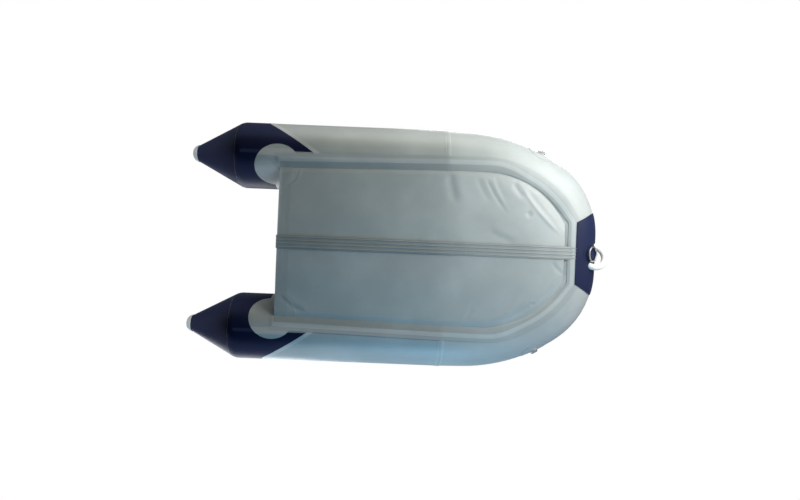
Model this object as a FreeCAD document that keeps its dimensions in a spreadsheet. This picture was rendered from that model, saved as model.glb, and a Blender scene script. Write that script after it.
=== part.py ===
"""Inflatable dinghy with an air floor, an inflatable keel and a plywood transom.

Frame: +X to the bow, +Y to port, +Z up, millimetres.  The origin is the
bottom centre of the boat's box, on the floor that it is parked on.
Stations along the boat are measured from the tips of the stern cones.
"""
import FreeCAD, Part
import math
import os

import Sketcher

DOC = FreeCAD.newDocument("dinghy")
SIDES = {"port": 1, "starboard": -1}
PARTS = []

# ---------------------------------------------------------------- dimensions
SIZES = {
    # hull outline
    "overall_length": 2704,
    "tube_radius": 210,
    "tube_offset": 550,
    "cone_start": 38,
    "cone_end": 316,
    "cone_small_radius": 52,
    "cone_large_radius": 200.6,
    "cone_tip_radius": 15,
    "cone_cap_rim": 55,
    "cone_cap_curve": 46,
    "shoulder_end": 359,
    "shoulder_curve": 100,
    # bow chamber
    "seam_station": 1622,
    "bow_rise": 7.5,
    "bow_run": 160,
    "quarter_curve": 920,
    "quarter_turn": 34,
    "nose_curve": 330,
    # bottom fabric
    "skin_thick": 4,
    "crease_offset": 458,
    "crease_seam_offset": 480,
    "crease_bow_offset": 487,
    "skin_quarter_station": 1870,
    "skin_quarter_curve": 600,
    "skin_quarter_turn": 52,
    "skin_front_curve": 30,
    "skin_front_station": 2413,
    # keel strip
    "keel_width": 82,
    "keel_thick": 2,
    "keel_rib_width": 9,
    "keel_rib_depth": 2.5,
    "keel_rib_pitch": 21,
    "keel_aft": 594,
    "keel_front_reach": 27,
    "keel_height": 5,
    # floor
    "floor_bottom": 42,
    "floor_thick": 75,
    "floor_aft": 648,
    "floor_nose_gap": 160,
    "floor_half_width": 400,
    "floor_valve_ahead": 110,
    "floor_valve_side": 230,
    # transom
    "transom_aft": 602,
    "transom_thick": 28,
    "transom_width": 880,
    "transom_top": 402,
    "transom_corner": 40,
    "transom_notch_slope": 30,
    "transom_notch_top": 384,
    "transom_notch_width": 330,
    "pad_outer_width": 270,
    "pad_outer_height": 190,
    "pad_inner_width": 230,
    "pad_inner_height": 150,
    "pad_thick": 6,
    "drain_radius": 12,
    "drain_flange_radius": 30,
    "drain_side": 180,
    "drain_height": 70,
    # bench
    "bench_station": 1455,
    "bench_width": 210,
    "bench_thick": 16,
    "bench_height": 322,
    "bench_half_length": 388,
    "cleat_width": 250,
    "cleat_depth": 34,
    # rubbing strake
    "strake_radius": 22,
    "strake_reach": 206,
    "strake_angle": 20,
    "strake_aft": 345,
    # oars and rowlocks
    "rowlock_station": 1265,
    "rowlock_lean": 20,
    "rowlock_base_radius": 48,
    "rowlock_base_height": 16,
    "rowlock_pin_radius": 8,
    "rowlock_boss_radius": 20,
    "rowlock_boss_height": 24,
    "rowlock_pin_foot": 4,
    "rowlock_running_gap": 0.08,
    "collar_radius": 21,
    "collar_length": 56,
    "oar_height": 50,
    "shaft_radius": 15,
    "shaft_aft": 560,
    "grip_radius": 18,
    "grip_length": 130,
    "grip_front": 380,
    "blade_length": 430,
    "oar_rest_aft": 420,
    "blade_width": 150,
    "blade_thick": 9,
    # bow fittings
    "bow_patch_angle": 45,
    "patch_radius": 70,
    "tow_base_radius": 50,
    "tow_base_height": 12,
    "ring_radius": 46,
    "ring_wire": 6,
    "handle_grip": 20,
    "handle_port": 74,
    "handle_starboard": -50,
    "handle_port_angle": 43,
    "handle_starboard_angle": 62,
    "handle_front_side": 26,
    "handle_front_height": 196,
    "side_ring_radius": 19,
    "side_ring_wire": 4,
    "side_base_height": 9,
    "side_ring_station": 2232,
    "side_ring_angle": 60,
    "lift_handle_station": 905,
    # valves
    "valve_radius": 36,
    "valve_flange": 5,
    "valve_height": 16,
    "valve_station": 1505,
    "bow_valve_back": 90,
}

SHEET = DOC.addObject("Spreadsheet::Sheet", "Sizes")
for row, (alias, value) in enumerate(SIZES.items(), start=1):
    SHEET.set("A%d" % row, alias)
    SHEET.set("B%d" % row, str(value))
    SHEET.setAlias("B%d" % row, alias)
DOC.recompute()


def size(alias):
    """The number in the sheet under this alias."""
    return float(SHEET.get(alias))


def station(distance):
    """X of a station measured from the stern cones' tips."""
    return distance - size("overall_length") / 2


def sheet_expression(text):
    """Prefix each alias in an expression with the sheet's name."""
    words = []
    word = ""
    for letter in text + " ":
        if letter.isalnum() or letter in "_.":
            word += letter
            continue
        words.append("Sizes." + word if word in SIZES else word)
        words.append(letter)
        word = ""
    return "".join(words).strip()


def bind(thing, **expressions):
    """Bind an object's properties to expressions on the sheet."""
    for name, text in expressions.items():
        thing.setExpression(name, sheet_expression(text))
    return thing


def make(kind, name, **expressions):
    """A Part primitive with its sizes bound to the sheet."""
    return bind(DOC.addObject(kind, name), **expressions)


def place(thing, x, y, z, axis=(0, 0, 1), angle=0):
    """Put an object at a point, turned about an axis in degrees."""
    turn = FreeCAD.Rotation(FreeCAD.Vector(*axis), angle)
    thing.Placement = FreeCAD.Placement(FreeCAD.Vector(x, y, z), turn)
    return thing


def pose(thing, placement):
    thing.Placement = placement
    return thing


def join(name, shapes):
    """Fuse objects into one."""
    fused = DOC.addObject("Part::MultiFuse", name)
    fused.Shapes = shapes
    fused.Refine = True
    return fused


def cut(name, base, tool):
    """Base without tool."""
    left = DOC.addObject("Part::Cut", name)
    left.Base = base
    left.Tool = tool
    return left


def common(name, base, tool):
    """Where base and tool overlap."""
    both = DOC.addObject("Part::Common", name)
    both.Base = base
    both.Tool = tool
    return both


def keep(thing, label):
    """Mark an object as a finished sub-part, named by its label."""
    thing.Label = label
    PARTS.append(thing)
    return thing


def solid_feature(name, shape):
    """A feature whose shape is set from code, sized by the sheet."""
    feature = DOC.addObject("Part::Feature", name)
    feature.Shape = shape
    return feature


# ------------------------------------------------------------ frames in use
RISE = size("bow_rise")
SEAM = FreeCAD.Vector(station(size("seam_station")), 0, size("tube_radius"))
BOW_TURN = FreeCAD.Rotation(FreeCAD.Vector(0, 1, 0), -RISE)
BOW_FRAME = FreeCAD.Placement(SEAM, BOW_TURN)
MITRE_FRAME = FreeCAD.Placement(SEAM, FreeCAD.Rotation(FreeCAD.Vector(0, 1, 0), -RISE / 2))
ALONG_X = FreeCAD.Rotation(FreeCAD.Vector(0, 1, 0), 90)


def in_bow(x, y, z, turn=None):
    """A placement given in the bow chamber's own tilted frame."""
    local = FreeCAD.Placement(FreeCAD.Vector(x, y, z), turn or FreeCAD.Rotation())
    return BOW_FRAME.multiply(local)


def tube_surface(side, angle, reach):
    """Point beside a stern tube's axis: angle from straight up, outboard positive."""
    lean = math.radians(angle)
    y = side * (size("tube_offset") + reach * math.sin(lean))
    return y, size("tube_radius") + reach * math.cos(lean)


def mitre_block(name, forward):
    """Large block on one side of the seam between the stern tubes and the bow."""
    reach = 1600
    block = DOC.addObject("Part::Box", name)
    block.Length = reach
    block.Width = 2 * reach
    block.Height = 2 * reach
    corner = FreeCAD.Vector(0 if forward else -reach, -reach, -reach)
    block.Placement = MITRE_FRAME.multiply(FreeCAD.Placement(corner, FreeCAD.Rotation()))
    return block


def sketch_loop(owner, name, points, curves=None):
    """Closed sketch whose corners are bound to the sheet.

    points: list of (x expression, y expression).
    curves: corner number -> radius expression, positive for a left-hand arc
    from that corner to the next one.
    """
    curves = curves or {}
    sketch = owner.newObject("Sketcher::SketchObject", name) if owner else \
        DOC.addObject("Sketcher::SketchObject", name)
    values = []
    for pair in points:
        values.append(FreeCAD.Vector(expression_value(pair[0]), expression_value(pair[1]), 0))
    count = len(values)
    for index, start in enumerate(values):
        end = values[(index + 1) % count]
        if index in curves:
            radius = expression_value(curves[index].lstrip("-"))
            left = not curves[index].startswith("-")
            sketch.addGeometry(arc_through(start, end, radius, left), False)
        else:
            sketch.addGeometry(Part.LineSegment(start, end), False)
    for index in range(count):
        first = arc_ends(curves, index)
        second = arc_ends(curves, (index + 1) % count)
        sketch.addConstraint(
            Sketcher.Constraint("Coincident", index, first[1], (index + 1) % count, second[0]))
    for index, pair in enumerate(points):
        corner = arc_ends(curves, index)[0]
        for kind, text, value in (("DistanceX", pair[0], values[index].x),
                                  ("DistanceY", pair[1], values[index].y)):
            number = sketch.addConstraint(Sketcher.Constraint(kind, index, corner, value))
            sketch.setExpression("Constraints[%d]" % number, sheet_expression(text))
        if index in curves:
            number = sketch.addConstraint(Sketcher.Constraint(
                "Radius", index, expression_value(curves[index].lstrip("-"))))
            sketch.setExpression(
                "Constraints[%d]" % number, sheet_expression(curves[index].lstrip("-")))
    return sketch


def arc_ends(curves, index):
    """Sketcher's point numbers for an edge's start and end, in loop order."""
    if index in curves and curves[index].startswith("-"):
        return 2, 1
    return 1, 2


def arc_through(start, end, radius, left):
    """Arc of the short kind from start to end that turns left or right."""
    chord = end - start
    half = chord.Length / 2
    lift = math.sqrt(max(radius * radius - half * half, 0))
    across = FreeCAD.Vector(-chord.y, chord.x, 0).normalize()
    middle = (start + end) * 0.5
    centre = middle + across * (lift if left else -lift)
    first, last = (start, end) if left else (end, start)
    begin = math.atan2(first.y - centre.y, first.x - centre.x)
    finish = math.atan2(last.y - centre.y, last.x - centre.x)
    circle = Part.Circle(centre, FreeCAD.Vector(0, 0, 1), radius)
    return Part.ArcOfCircle(circle, begin, finish)


def expression_value(text):
    """Value of a plus and minus expression of sheet aliases and numbers."""
    total = 0.0
    for term in text.replace("-", "+-").split("+"):
        term = term.strip()
        if not term:
            continue
        sign = -1 if term.startswith("-") else 1
        factors = term.lstrip("- ").split("*")
        product = 1.0
        for factor in factors:
            pieces = factor.strip().split("/")
            number = size(pieces[0].strip()) if pieces[0].strip() in SIZES else float(pieces[0])
            for divisor in pieces[1:]:
                number /= float(divisor)
            product *= number
        total += sign * product
    return total


def body_plane(body, role):
    for plane in body.Origin.OriginFeatures:
        if plane.Role == role:
            return plane
    raise RuntimeError("no plane " + role)


def revolved_body(name, points, curves=None):
    """Body turned about X from a profile of station and radius."""
    body = DOC.addObject("PartDesign::Body", name)
    sketch = sketch_loop(body, name + "_profile", points, curves)
    sketch.AttachmentSupport = [(body_plane(body, "XY_Plane"), "")]
    sketch.MapMode = "FlatFace"
    turned = body.newObject("PartDesign::Revolution", name + "_turned")
    turned.Profile = sketch
    turned.ReferenceAxis = (sketch, ["H_Axis"])
    turned.Angle = 360
    return body


def padded_body(name, plane, points, thickness, curves=None, both_ways=False):
    """Body padded from a loop on one of its own planes."""
    body = DOC.addObject("PartDesign::Body", name)
    sketch = sketch_loop(body, name + "_outline", points, curves)
    sketch.AttachmentSupport = [(body_plane(body, plane), "")]
    sketch.MapMode = "FlatFace"
    pad = body.newObject("PartDesign::Pad", name + "_pad")
    pad.Profile = sketch
    bind(pad, Length=thickness)
    pad.Midplane = both_ways
    return body


# ---------------------------------------------------------------- main tubes
def stern_tube(side_name, side):
    """Aft air chamber: a shoulder behind the cone, then a straight cylinder."""
    length = "seam_station + 60"
    body = revolved_body(
        side_name + "_tube_round",
        [("cone_end", "0"), (length, "0"), (length, "tube_radius"),
         ("shoulder_end", "tube_radius"), ("cone_end", "cone_large_radius")],
        {3: "shoulder_curve"})
    place(body, station(0), side * size("tube_offset"), size("tube_radius"))
    block = mitre_block(side_name + "_tube_mitre", True)
    return keep(cut(side_name + "_tube_cut", body, block), side_name + "_tube")


def ring_path(name, reach, height, thickness):
    """Round bar that follows the bow chamber's path, inside or outside it."""
    pieces = []
    bend = size("quarter_curve")
    nose = size("nose_curve")
    turn = size("quarter_turn")
    run = size("bow_run")
    quarter_y = size("tube_offset") - bend
    nose_x = run + (bend - nose) * math.sin(math.radians(turn))
    nose_y = quarter_y + (bend - nose) * math.cos(math.radians(turn))
    back = 60
    for side_name, side in SIDES.items():
        bar = DOC.addObject("Part::Cylinder", name + "_run_" + side_name)
        bind(bar, Radius=thickness, Height="bow_run + %g" % back)
        y = side * (size("tube_offset") + reach)
        pieces.append(pose(bar, in_bow(-back, y, height, ALONG_X)))
        for part_name, curve, x, y, start, sweep in (
                ("quarter", "quarter_curve", run, quarter_y, 90 - turn, "quarter_turn"),
                ("shoulder", "nose_curve", nose_x, nose_y, 0, "90 - quarter_turn")):
            bend_piece = DOC.addObject("Part::Torus", name + "_" + part_name + "_" + side_name)
            bind(bend_piece, Radius1="%s + %g" % (curve, reach), Radius2=thickness, Angle3=sweep)
            if side < 0:
                start = -(start + expression_value(sweep))
            turned = FreeCAD.Rotation(FreeCAD.Vector(0, 0, 1), start)
            pieces.append(pose(bend_piece, in_bow(x, side * y, height, turned)))
    nose_bar = DOC.addObject("Part::Cylinder", name + "_nose")
    bind(nose_bar, Radius=thickness)
    nose_bar.Height = 2 * nose_y
    across = FreeCAD.Rotation(FreeCAD.Vector(1, 0, 0), -90)
    pieces.append(pose(nose_bar, in_bow(nose_x + nose + reach, -nose_y, height, across)))
    fused = join(name + "_joined", pieces)
    return cut(name + "_mitred", fused, mitre_block(name + "_mitre", False))


def cone(side_name, side):
    """Tapered stern cone with its moulded end cap."""
    taper = revolved_body(
        side_name + "_stern_cone",
        [("cone_start", "0"), ("cone_end", "0"), ("cone_end", "cone_large_radius"),
         ("cone_start", "cone_small_radius")])
    cap = revolved_body(
        side_name + "_cone_cap",
        [("0", "0"), ("cone_start", "0"), ("cone_start", "cone_cap_rim"), ("0", "cone_tip_radius")],
        {2: "cone_cap_curve"})
    for body, label in ((taper, side_name + "_stern_cone"), (cap, side_name + "_cone_cap")):
        place(body, station(0), side * size("tube_offset"), size("tube_radius"))
        keep(body, label)


TUBES = [stern_tube(name, side) for name, side in SIDES.items()]
BOW = keep(ring_path("bow_chamber", 0, 0, "tube_radius"), "bow_tube")
for name, side in SIDES.items():
    cone(name, side)
HULL = join("hull_tubes", TUBES + [BOW])


# ------------------------------------------------------------- bottom fabric
def section(x, frame, rows, lean=0):
    """Closed cross-section of the bottom fabric, from port to starboard.

    lean is how far it leans forward for each millimetre below the tubes' axes.
    """
    thick = size("skin_thick")
    low = rows + [(-y, z) for y, z in reversed(rows)]
    loop = low + [(y, z + thick) for y, z in reversed(low)]
    axis = size("tube_radius") if lean else 0
    ring = [frame.multVec(FreeCAD.Vector(x + (axis - z) * lean, y, z)) for y, z in loop]
    return Part.makePolygon(ring + ring[:1])


def skin_blank():
    """Shallow vee of fabric, wider than the bottom, from the transom to the bow."""
    radius = size("tube_radius")
    level = FreeCAD.Placement(FreeCAD.Vector(station(0), 0, 0), FreeCAD.Rotation())
    lean = math.tan(math.radians(RISE / 2))
    rows = [(600, 60), (530, 30), (480, 10), (41, 5)]
    seam = section(size("seam_station"), level, rows, lean)
    rows = [(600, 70), (510, 38), (458, 19), (41, 5)]
    stern = Part.makeLoft([section(size("transom_aft"), level, rows), seam], True, True)
    deep = [[(600, 46), (520, 16), (420, 0), (41, -12)],
            [(560, 45), (390, 9), (250, -12), (41, -22)],
            [(420, 50), (230, 11), (150, -8), (41, -16)],
            [(300, 30), (170, 6), (120, 4), (41, 2)]]
    steps = [322, 562, 722, 782]
    sections = [seam]
    for x, rows in zip(steps, deep):
        local = [(y, z - radius) for y, z in rows]
        sections.append(section(x, BOW_FRAME, local))
    bow = Part.makeLoft(sections, True, True)
    return stern.fuse(bow).removeSplitter()


def skin_outline():
    """Plan outline of the bottom fabric, where it creases against the tubes."""
    points = []
    curve = size("skin_quarter_curve")
    turn = math.radians(size("skin_quarter_turn"))
    front = size("skin_front_curve")
    aft = station(size("transom_aft"))
    start = station(size("skin_quarter_station"))
    wide = size("crease_bow_offset")
    end = FreeCAD.Vector(start + curve * math.sin(turn), wide - curve * (1 - math.cos(turn)), 0)
    mid = FreeCAD.Vector(start + curve * math.sin(turn / 2),
                         wide - curve * (1 - math.cos(turn / 2)), 0)
    nose_x = station(size("skin_front_station"))
    run = (nose_x - front * (1 - math.sin(turn)) - end.x) / math.cos(turn)
    corner = end + FreeCAD.Vector(math.cos(turn), -math.sin(turn), 0) * run
    centre = corner - FreeCAD.Vector(math.sin(turn), math.cos(turn), 0) * front
    half = (math.pi / 2 + turn) / 2
    bend = centre + FreeCAD.Vector(math.sin(half), math.cos(half), 0) * front
    tip = centre + FreeCAD.Vector(front, 0, 0)
    points = [FreeCAD.Vector(aft, size("crease_offset"), 0),
              FreeCAD.Vector(station(size("seam_station")), size("crease_seam_offset"), 0),
              FreeCAD.Vector(start, wide, 0)]

    def flip(point):
        return FreeCAD.Vector(point.x, -point.y, 0)

    edges = [Part.makeLine(points[0], points[1]), Part.makeLine(points[1], points[2]),
             Part.Arc(points[2], mid, end).toShape(), Part.makeLine(end, corner),
             Part.Arc(corner, bend, tip).toShape(), Part.makeLine(tip, flip(tip)),
             Part.Arc(flip(tip), flip(bend), flip(corner)).toShape(),
             Part.makeLine(flip(corner), flip(end)),
             Part.Arc(flip(end), flip(mid), flip(points[2])).toShape(),
             Part.makeLine(flip(points[2]), flip(points[1])),
             Part.makeLine(flip(points[1]), flip(points[0])),
             Part.makeLine(flip(points[0]), points[0])]
    face = Part.Face(Part.Wire(edges))
    face.translate(FreeCAD.Vector(0, 0, -50))
    return face.extrude(FreeCAD.Vector(0, 0, 600))


blank = solid_feature("skin_blank", skin_blank())
outline = solid_feature("skin_outline", skin_outline())
SKIN = keep(cut("skin_trimmed", common("skin_plan", blank, outline), HULL), "bottom_skin")


# ---------------------------------------------------------------- keel strip
def bow_point(x, y, z):
    return BOW_FRAME.multVec(FreeCAD.Vector(x, y, z))


def keel_line():
    """Corners of the strip's upper line, from the transom to the bow, seen from the side."""
    radius = size("tube_radius")
    height = size("keel_height")
    line = [FreeCAD.Vector(station(size("keel_aft")), 0, height),
            FreeCAD.Vector(station(size("seam_station")), 0, height)]
    for x, drop in ((322, 12), (562, 22), (722, 16), (780, 0)):
        line.append(bow_point(x, 0, -radius - drop))
    reach = size("keel_front_reach")
    line.append(bow_point(NOSE_X + reach, 0, -math.sqrt(radius ** 2 - reach ** 2)))
    return line


def keel_band(width, depth, y):
    """Strip of one width that follows the keel line."""
    lift = 2
    line = keel_line()
    high = [point + FreeCAD.Vector(0, 0, lift) for point in line]
    low = [point - FreeCAD.Vector(0, 0, depth) for point in reversed(line)]
    ring = high + low
    face = Part.Face(Part.makePolygon(ring + ring[:1]))
    face.translate(FreeCAD.Vector(0, y - width / 2, 0))
    return face.extrude(FreeCAD.Vector(0, width, 0))


TURN = math.radians(size("quarter_turn"))
NOSE_X = (size("bow_run") + (size("quarter_curve") - size("nose_curve")) * math.sin(TURN)
          + size("nose_curve"))


def keel():
    band = solid_feature("keel_band", keel_band(size("keel_width"), size("keel_thick"), 0))
    pieces = [band]
    depth = size("keel_thick") + size("keel_rib_depth")
    for number in range(4):
        y = (number - 1.5) * size("keel_rib_pitch")
        rib = solid_feature("keel_rib_%d" % number, keel_band(size("keel_rib_width"), depth, y))
        pieces.append(rib)
    strip = join("keel_joined", pieces)
    return keep(cut("keel_off_skin", cut("keel_off_hull", strip, HULL), SKIN), "keel_strip")


KEEL = keel()


# ----------------------------------------------------------------- air floor
def floor():
    """Flat air panel between the tubes, bent up at the bow chamber's seam."""
    low = size("floor_bottom")
    high = low + size("floor_thick")
    radius = size("tube_radius")
    lean = math.tan(math.radians(RISE / 2))
    aft = station(size("floor_aft"))
    tip = NOSE_X - size("floor_nose_gap")
    corners = [FreeCAD.Vector(aft, 0, low),
               FreeCAD.Vector(SEAM.x + (radius - low) * lean, 0, low),
               bow_point(tip, 0, low - radius), bow_point(tip, 0, high - radius),
               FreeCAD.Vector(SEAM.x + (radius - high) * lean, 0, high),
               FreeCAD.Vector(aft, 0, high)]
    face = Part.Face(Part.makePolygon(corners + corners[:1]))
    half = size("floor_half_width")
    face.translate(FreeCAD.Vector(0, -half, 0))
    panel = solid_feature("floor_blank", face.extrude(FreeCAD.Vector(0, 2 * half, 0)))
    return keep(cut("floor_off_hull", panel, HULL), "air_floor")


floor()


# ------------------------------------------------------------------- transom
def cylinder(name, radius, length, x, y, z, axis=(0, 0, 1), angle=0):
    return place(make("Part::Cylinder", name, Radius=radius, Height=length), x, y, z, axis, angle)


def box(name, length, width, height, x, y, z):
    return place(make("Part::Box", name, Length=length, Width=width, Height=height), x, y, z)


def rounded(name, base, direction, radius):
    """Fillet the edges of a plate that run along one direction."""
    DOC.recompute()
    fillet = DOC.addObject("Part::Fillet", name)
    fillet.Base = base
    way = FreeCAD.Vector(*direction)
    edges = []
    for number, edge in enumerate(base.Shape.Edges, start=1):
        if abs(abs(edge.tangentAt(edge.FirstParameter).dot(way)) - 1) < 1e-6:
            edges.append((number, radius, radius))
    fillet.Edges = edges
    return fillet


def transom():
    """Plywood board between the tubes, with the drain socket and both motor pads."""
    aft = station(size("transom_aft"))
    thick = size("transom_thick")
    board = padded_body(
        "transom_board", "YZ_Plane",
        [("-transom_width / 2", "20"), ("-keel_width / 2", "7"),
         ("keel_width / 2", "7"), ("transom_width / 2", "20"),
         ("transom_width / 2", "transom_top - transom_corner"),
         ("transom_width / 2 - transom_corner", "transom_top"),
         ("transom_notch_width / 2 + transom_notch_slope", "transom_top"),
         ("transom_notch_width / 2", "transom_notch_top"),
         ("-transom_notch_width / 2", "transom_notch_top"),
         ("-transom_notch_width / 2 - transom_notch_slope", "transom_top"),
         ("-transom_width / 2 + transom_corner", "transom_top"),
         ("-transom_width / 2", "transom_top - transom_corner")],
        "transom_thick")
    place(board, aft, 0, 0)
    turn = ((0, 1, 0), 90)
    y = size("drain_side")
    z = size("drain_height")
    wall = "drain_radius + 4"
    hole = cylinder("drain_hole", wall, "transom_thick", aft, y, z, *turn)
    fitted = cut("transom_off_hull", board, HULL)
    keep(cut("transom_drilled", cut("transom_off_skin", fitted, SKIN), hole), "transom")

    flange = 5
    sleeve = cylinder("drain_sleeve", wall, "transom_thick + 10", aft - flange, y, z, *turn)
    rims = [cylinder("drain_rim_aft", "drain_flange_radius", "5", aft - flange, y, z, *turn),
            cylinder("drain_rim_fore", "drain_flange_radius", "5", aft + thick, y, z, *turn)]
    bore = cylinder("drain_bore", "drain_radius", "transom_thick + 10", aft - flange, y, z, *turn)
    keep(cut("drain_open", join("drain_body", [sleeve] + rims), bore), "drain_socket")
    cap = cylinder("drain_cap", "drain_flange_radius - 5", "8", aft + thick + flange, y, z, *turn)
    keep(cap, "drain_cap")

    outer = box("outer_pad", "pad_thick", "pad_outer_width", "pad_outer_height",
                aft - size("pad_thick"), -size("pad_outer_width") / 2,
                size("transom_notch_top") - size("pad_outer_height") - 6)
    keep(rounded("outer_pad_round", outer, (1, 0, 0), 14), "outer_motor_pad")
    inner = box("inner_pad", "pad_thick", "pad_inner_width", "pad_inner_height",
                aft + thick, -size("pad_inner_width") / 2,
                size("transom_notch_top") - size("pad_inner_height") - 6)
    keep(rounded("inner_pad_round", inner, (1, 0, 0), 14), "inner_motor_pad")


transom()


# --------------------------------------------------------------------- bench
def bench():
    """Loose plywood seat board and the two blocks that hold its ends."""
    x = station(size("bench_station")) - size("bench_width") / 2
    half = size("bench_half_length")
    z = size("bench_height")
    board = box("bench_board", "bench_width", "2 * bench_half_length", "bench_thick", x, -half, z)
    keep(cut("bench_fitted", rounded("bench_round", board, (0, 0, 1), 24), HULL), "bench_seat")
    for name, side in SIDES.items():
        depth = size("cleat_depth")
        y = 345 if side > 0 else -400
        block = box(name + "_cleat_block", "cleat_width", "55", "cleat_depth",
                    x - (size("cleat_width") - size("bench_width")) / 2, y, z - depth)
        keep(cut(name + "_cleat_fitted", block, HULL), name + "_seat_cleat")


bench()


# ------------------------------------------------------------ rubbing strake
def strakes():
    """Half-round rubbing strake outside the tubes, just above their widest line."""
    angle = math.radians(size("strake_angle"))
    out = size("strake_reach") * math.cos(angle)
    high = size("strake_reach") * math.sin(angle)
    for name, side in SIDES.items():
        start = station(size("strake_aft"))
        y = side * (size("tube_offset") + out)
        z = size("tube_radius") + high
        bar = cylinder(name + "_strake_bar", "strake_radius", "seam_station - strake_aft + 60",
                       start, y, z, (0, 1, 0), 90)
        end = place(make("Part::Sphere", name + "_strake_end", Radius="strake_radius"), start, y, z)
        rod = join(name + "_strake_rod", [bar, end])
        trimmed = cut(name + "_strake_mitred", rod, mitre_block(name + "_strake_mitre", True))
        cones = DOC.getObject(name + "_stern_cone")
        keep(cut(name + "_strake_on_tube", cut(name + "_strake_on_cone", trimmed, cones), HULL),
             name + "_strake")
    ring = ring_path("bow_strake_path", out, high, "strake_radius")
    keep(cut("bow_strake_on_tube", ring, HULL), "bow_strake")


strakes()


# ---------------------------------------------------- fittings on the tubes
def facing(point, normal, along):
    """Placement at a point with Z on the normal and X near a direction."""
    upward = FreeCAD.Vector(normal).normalize()
    sideways = upward.cross(FreeCAD.Vector(along)).normalize()
    forward = sideways.cross(upward)
    turn = FreeCAD.Rotation(forward, sideways, upward, "ZXY")
    return FreeCAD.Placement(FreeCAD.Vector(point), turn)


def on_frame(frame, thing, x=0, y=0, z=0, axis=(0, 0, 1), angle=0):
    """Place an object in a fitting's own frame."""
    local = FreeCAD.Placement(FreeCAD.Vector(x, y, z), FreeCAD.Rotation(FreeCAD.Vector(*axis), angle))
    thing.Placement = frame.multiply(local)
    return thing


def tube_frame(side, distance, angle):
    """Frame on a stern tube's skin: angle from straight up, outboard positive."""
    y, z = tube_surface(side, angle, size("tube_radius"))
    lean = math.radians(angle)
    normal = FreeCAD.Vector(0, side * math.sin(lean), math.cos(lean))
    return facing((station(distance), y, z), normal, (1, 0, 0))


SINK = 8


def rowlock(name, side):
    """Moulded base with a socket for the oar collar's pin."""
    frame = tube_frame(side, size("rowlock_station"), size("rowlock_lean"))
    foot = on_frame(frame, make("Part::Cylinder", name + "_rowlock_foot",
                                Radius="rowlock_base_radius", Height="rowlock_base_height + 8"),
                    z=-SINK)
    boss = on_frame(frame, make("Part::Cylinder", name + "_rowlock_boss",
                                Radius="rowlock_boss_radius", Height="rowlock_boss_height"))
    bore = on_frame(frame, make("Part::Cylinder", name + "_rowlock_bore",
                                Radius="rowlock_pin_radius + rowlock_running_gap",
                                Height="rowlock_boss_height"), z=1)
    solid = cut(name + "_rowlock_open", join(name + "_rowlock_block", [foot, boss]), bore)
    keep(cut(name + "_rowlock_fitted", solid, HULL), name + "_rowlock_base")
    return frame


def oar(name, frame):
    """Two-part alloy oar lying along the tube, blade to the stern."""
    height = size("oar_height")
    along = ((0, 1, 0), 90)
    aft = -size("shaft_aft")
    length = size("shaft_aft") + size("grip_front") - size("grip_length")
    shaft = make("Part::Cylinder", name + "_shaft", Radius="shaft_radius",
                 Height="shaft_aft + grip_front - grip_length")
    on_frame(frame, shaft, aft, 0, height, *along)
    hole = make("Part::Cylinder", name + "_collar_hole", Radius="shaft_radius",
                Height="collar_length + 2")
    on_frame(frame, hole, -size("collar_length") / 2 - 1, 0, height, *along)
    keep(shaft, name + "_oar_shaft")
    grip = make("Part::Cylinder", name + "_grip_bar", Radius="grip_radius", Height="grip_length")
    on_frame(frame, grip, aft + length, 0, height, *along)
    keep(grip, name + "_oar_grip")
    sleeve = make("Part::Cylinder", name + "_collar_sleeve", Radius="collar_radius",
                  Height="collar_length")
    on_frame(frame, sleeve, -size("collar_length") / 2, 0, height, *along)
    pin = make("Part::Cylinder", name + "_collar_pin", Radius="rowlock_pin_radius",
               Height="oar_height - rowlock_pin_foot")
    on_frame(frame, pin, z=size("rowlock_pin_foot"))
    shoulder = make("Part::Cylinder", name + "_collar_shoulder", Radius="rowlock_pin_radius + 6",
                    Height="oar_height - rowlock_boss_height - 1")
    on_frame(frame, shoulder, z=size("rowlock_boss_height") + 1)
    keep(cut(name + "_collar_open", join(name + "_collar_block", [sleeve, pin, shoulder]), hole),
         name + "_oar_collar")
    blade = padded_body(
        name + "_blade", "XY_Plane",
        [("-shaft_aft", "-shaft_radius"), ("-shaft_aft", "shaft_radius"),
         ("-shaft_aft - 110", "blade_width / 2"), ("-shaft_aft - blade_length + 60", "blade_width / 2"),
         ("-shaft_aft - blade_length", "blade_width / 2 - 50"),
         ("-shaft_aft - blade_length", "-blade_width / 2 + 50"),
         ("-shaft_aft - blade_length + 60", "-blade_width / 2"), ("-shaft_aft - 110", "-blade_width / 2")],
        "blade_thick", both_ways=True)
    on_frame(frame, blade, 0, 0, height)
    keep(blade, name + "_oar_blade")


def oar_rest(name, side):
    """Hooked rubber rest beside the stowed oar, open to the outboard side."""
    frame = tube_frame(side, size("rowlock_station") - size("oar_rest_aft"), size("rowlock_lean"))
    inboard = -side
    foot = make("Part::Box", name + "_rest_foot")
    foot.Length, foot.Width, foot.Height = 46, 90, 22
    on_frame(frame, foot, -23, -45, -10)
    post = make("Part::Box", name + "_rest_post")
    post.Length, post.Width, post.Height = 30, 12, 62
    on_frame(frame, post, -15, 22 if inboard > 0 else -34, 0)
    keep(cut(name + "_rest_fitted", join(name + "_rest_block", [foot, post]), HULL),
         name + "_oar_rest")


def disc_stack(name, frame, discs, label):
    """Round moulding made of discs: (radius, lower height, upper height)."""
    pieces = []
    for number, (radius, low, high) in enumerate(discs):
        disc = make("Part::Cylinder", "%s_disc_%d" % (name, number), Radius=radius)
        disc.Height = high - low
        pieces.append(on_frame(frame, disc, z=low))
    block = join(name + "_block", pieces) if len(pieces) > 1 else pieces[0]
    return keep(cut(name + "_fitted", block, HULL), label)


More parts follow.
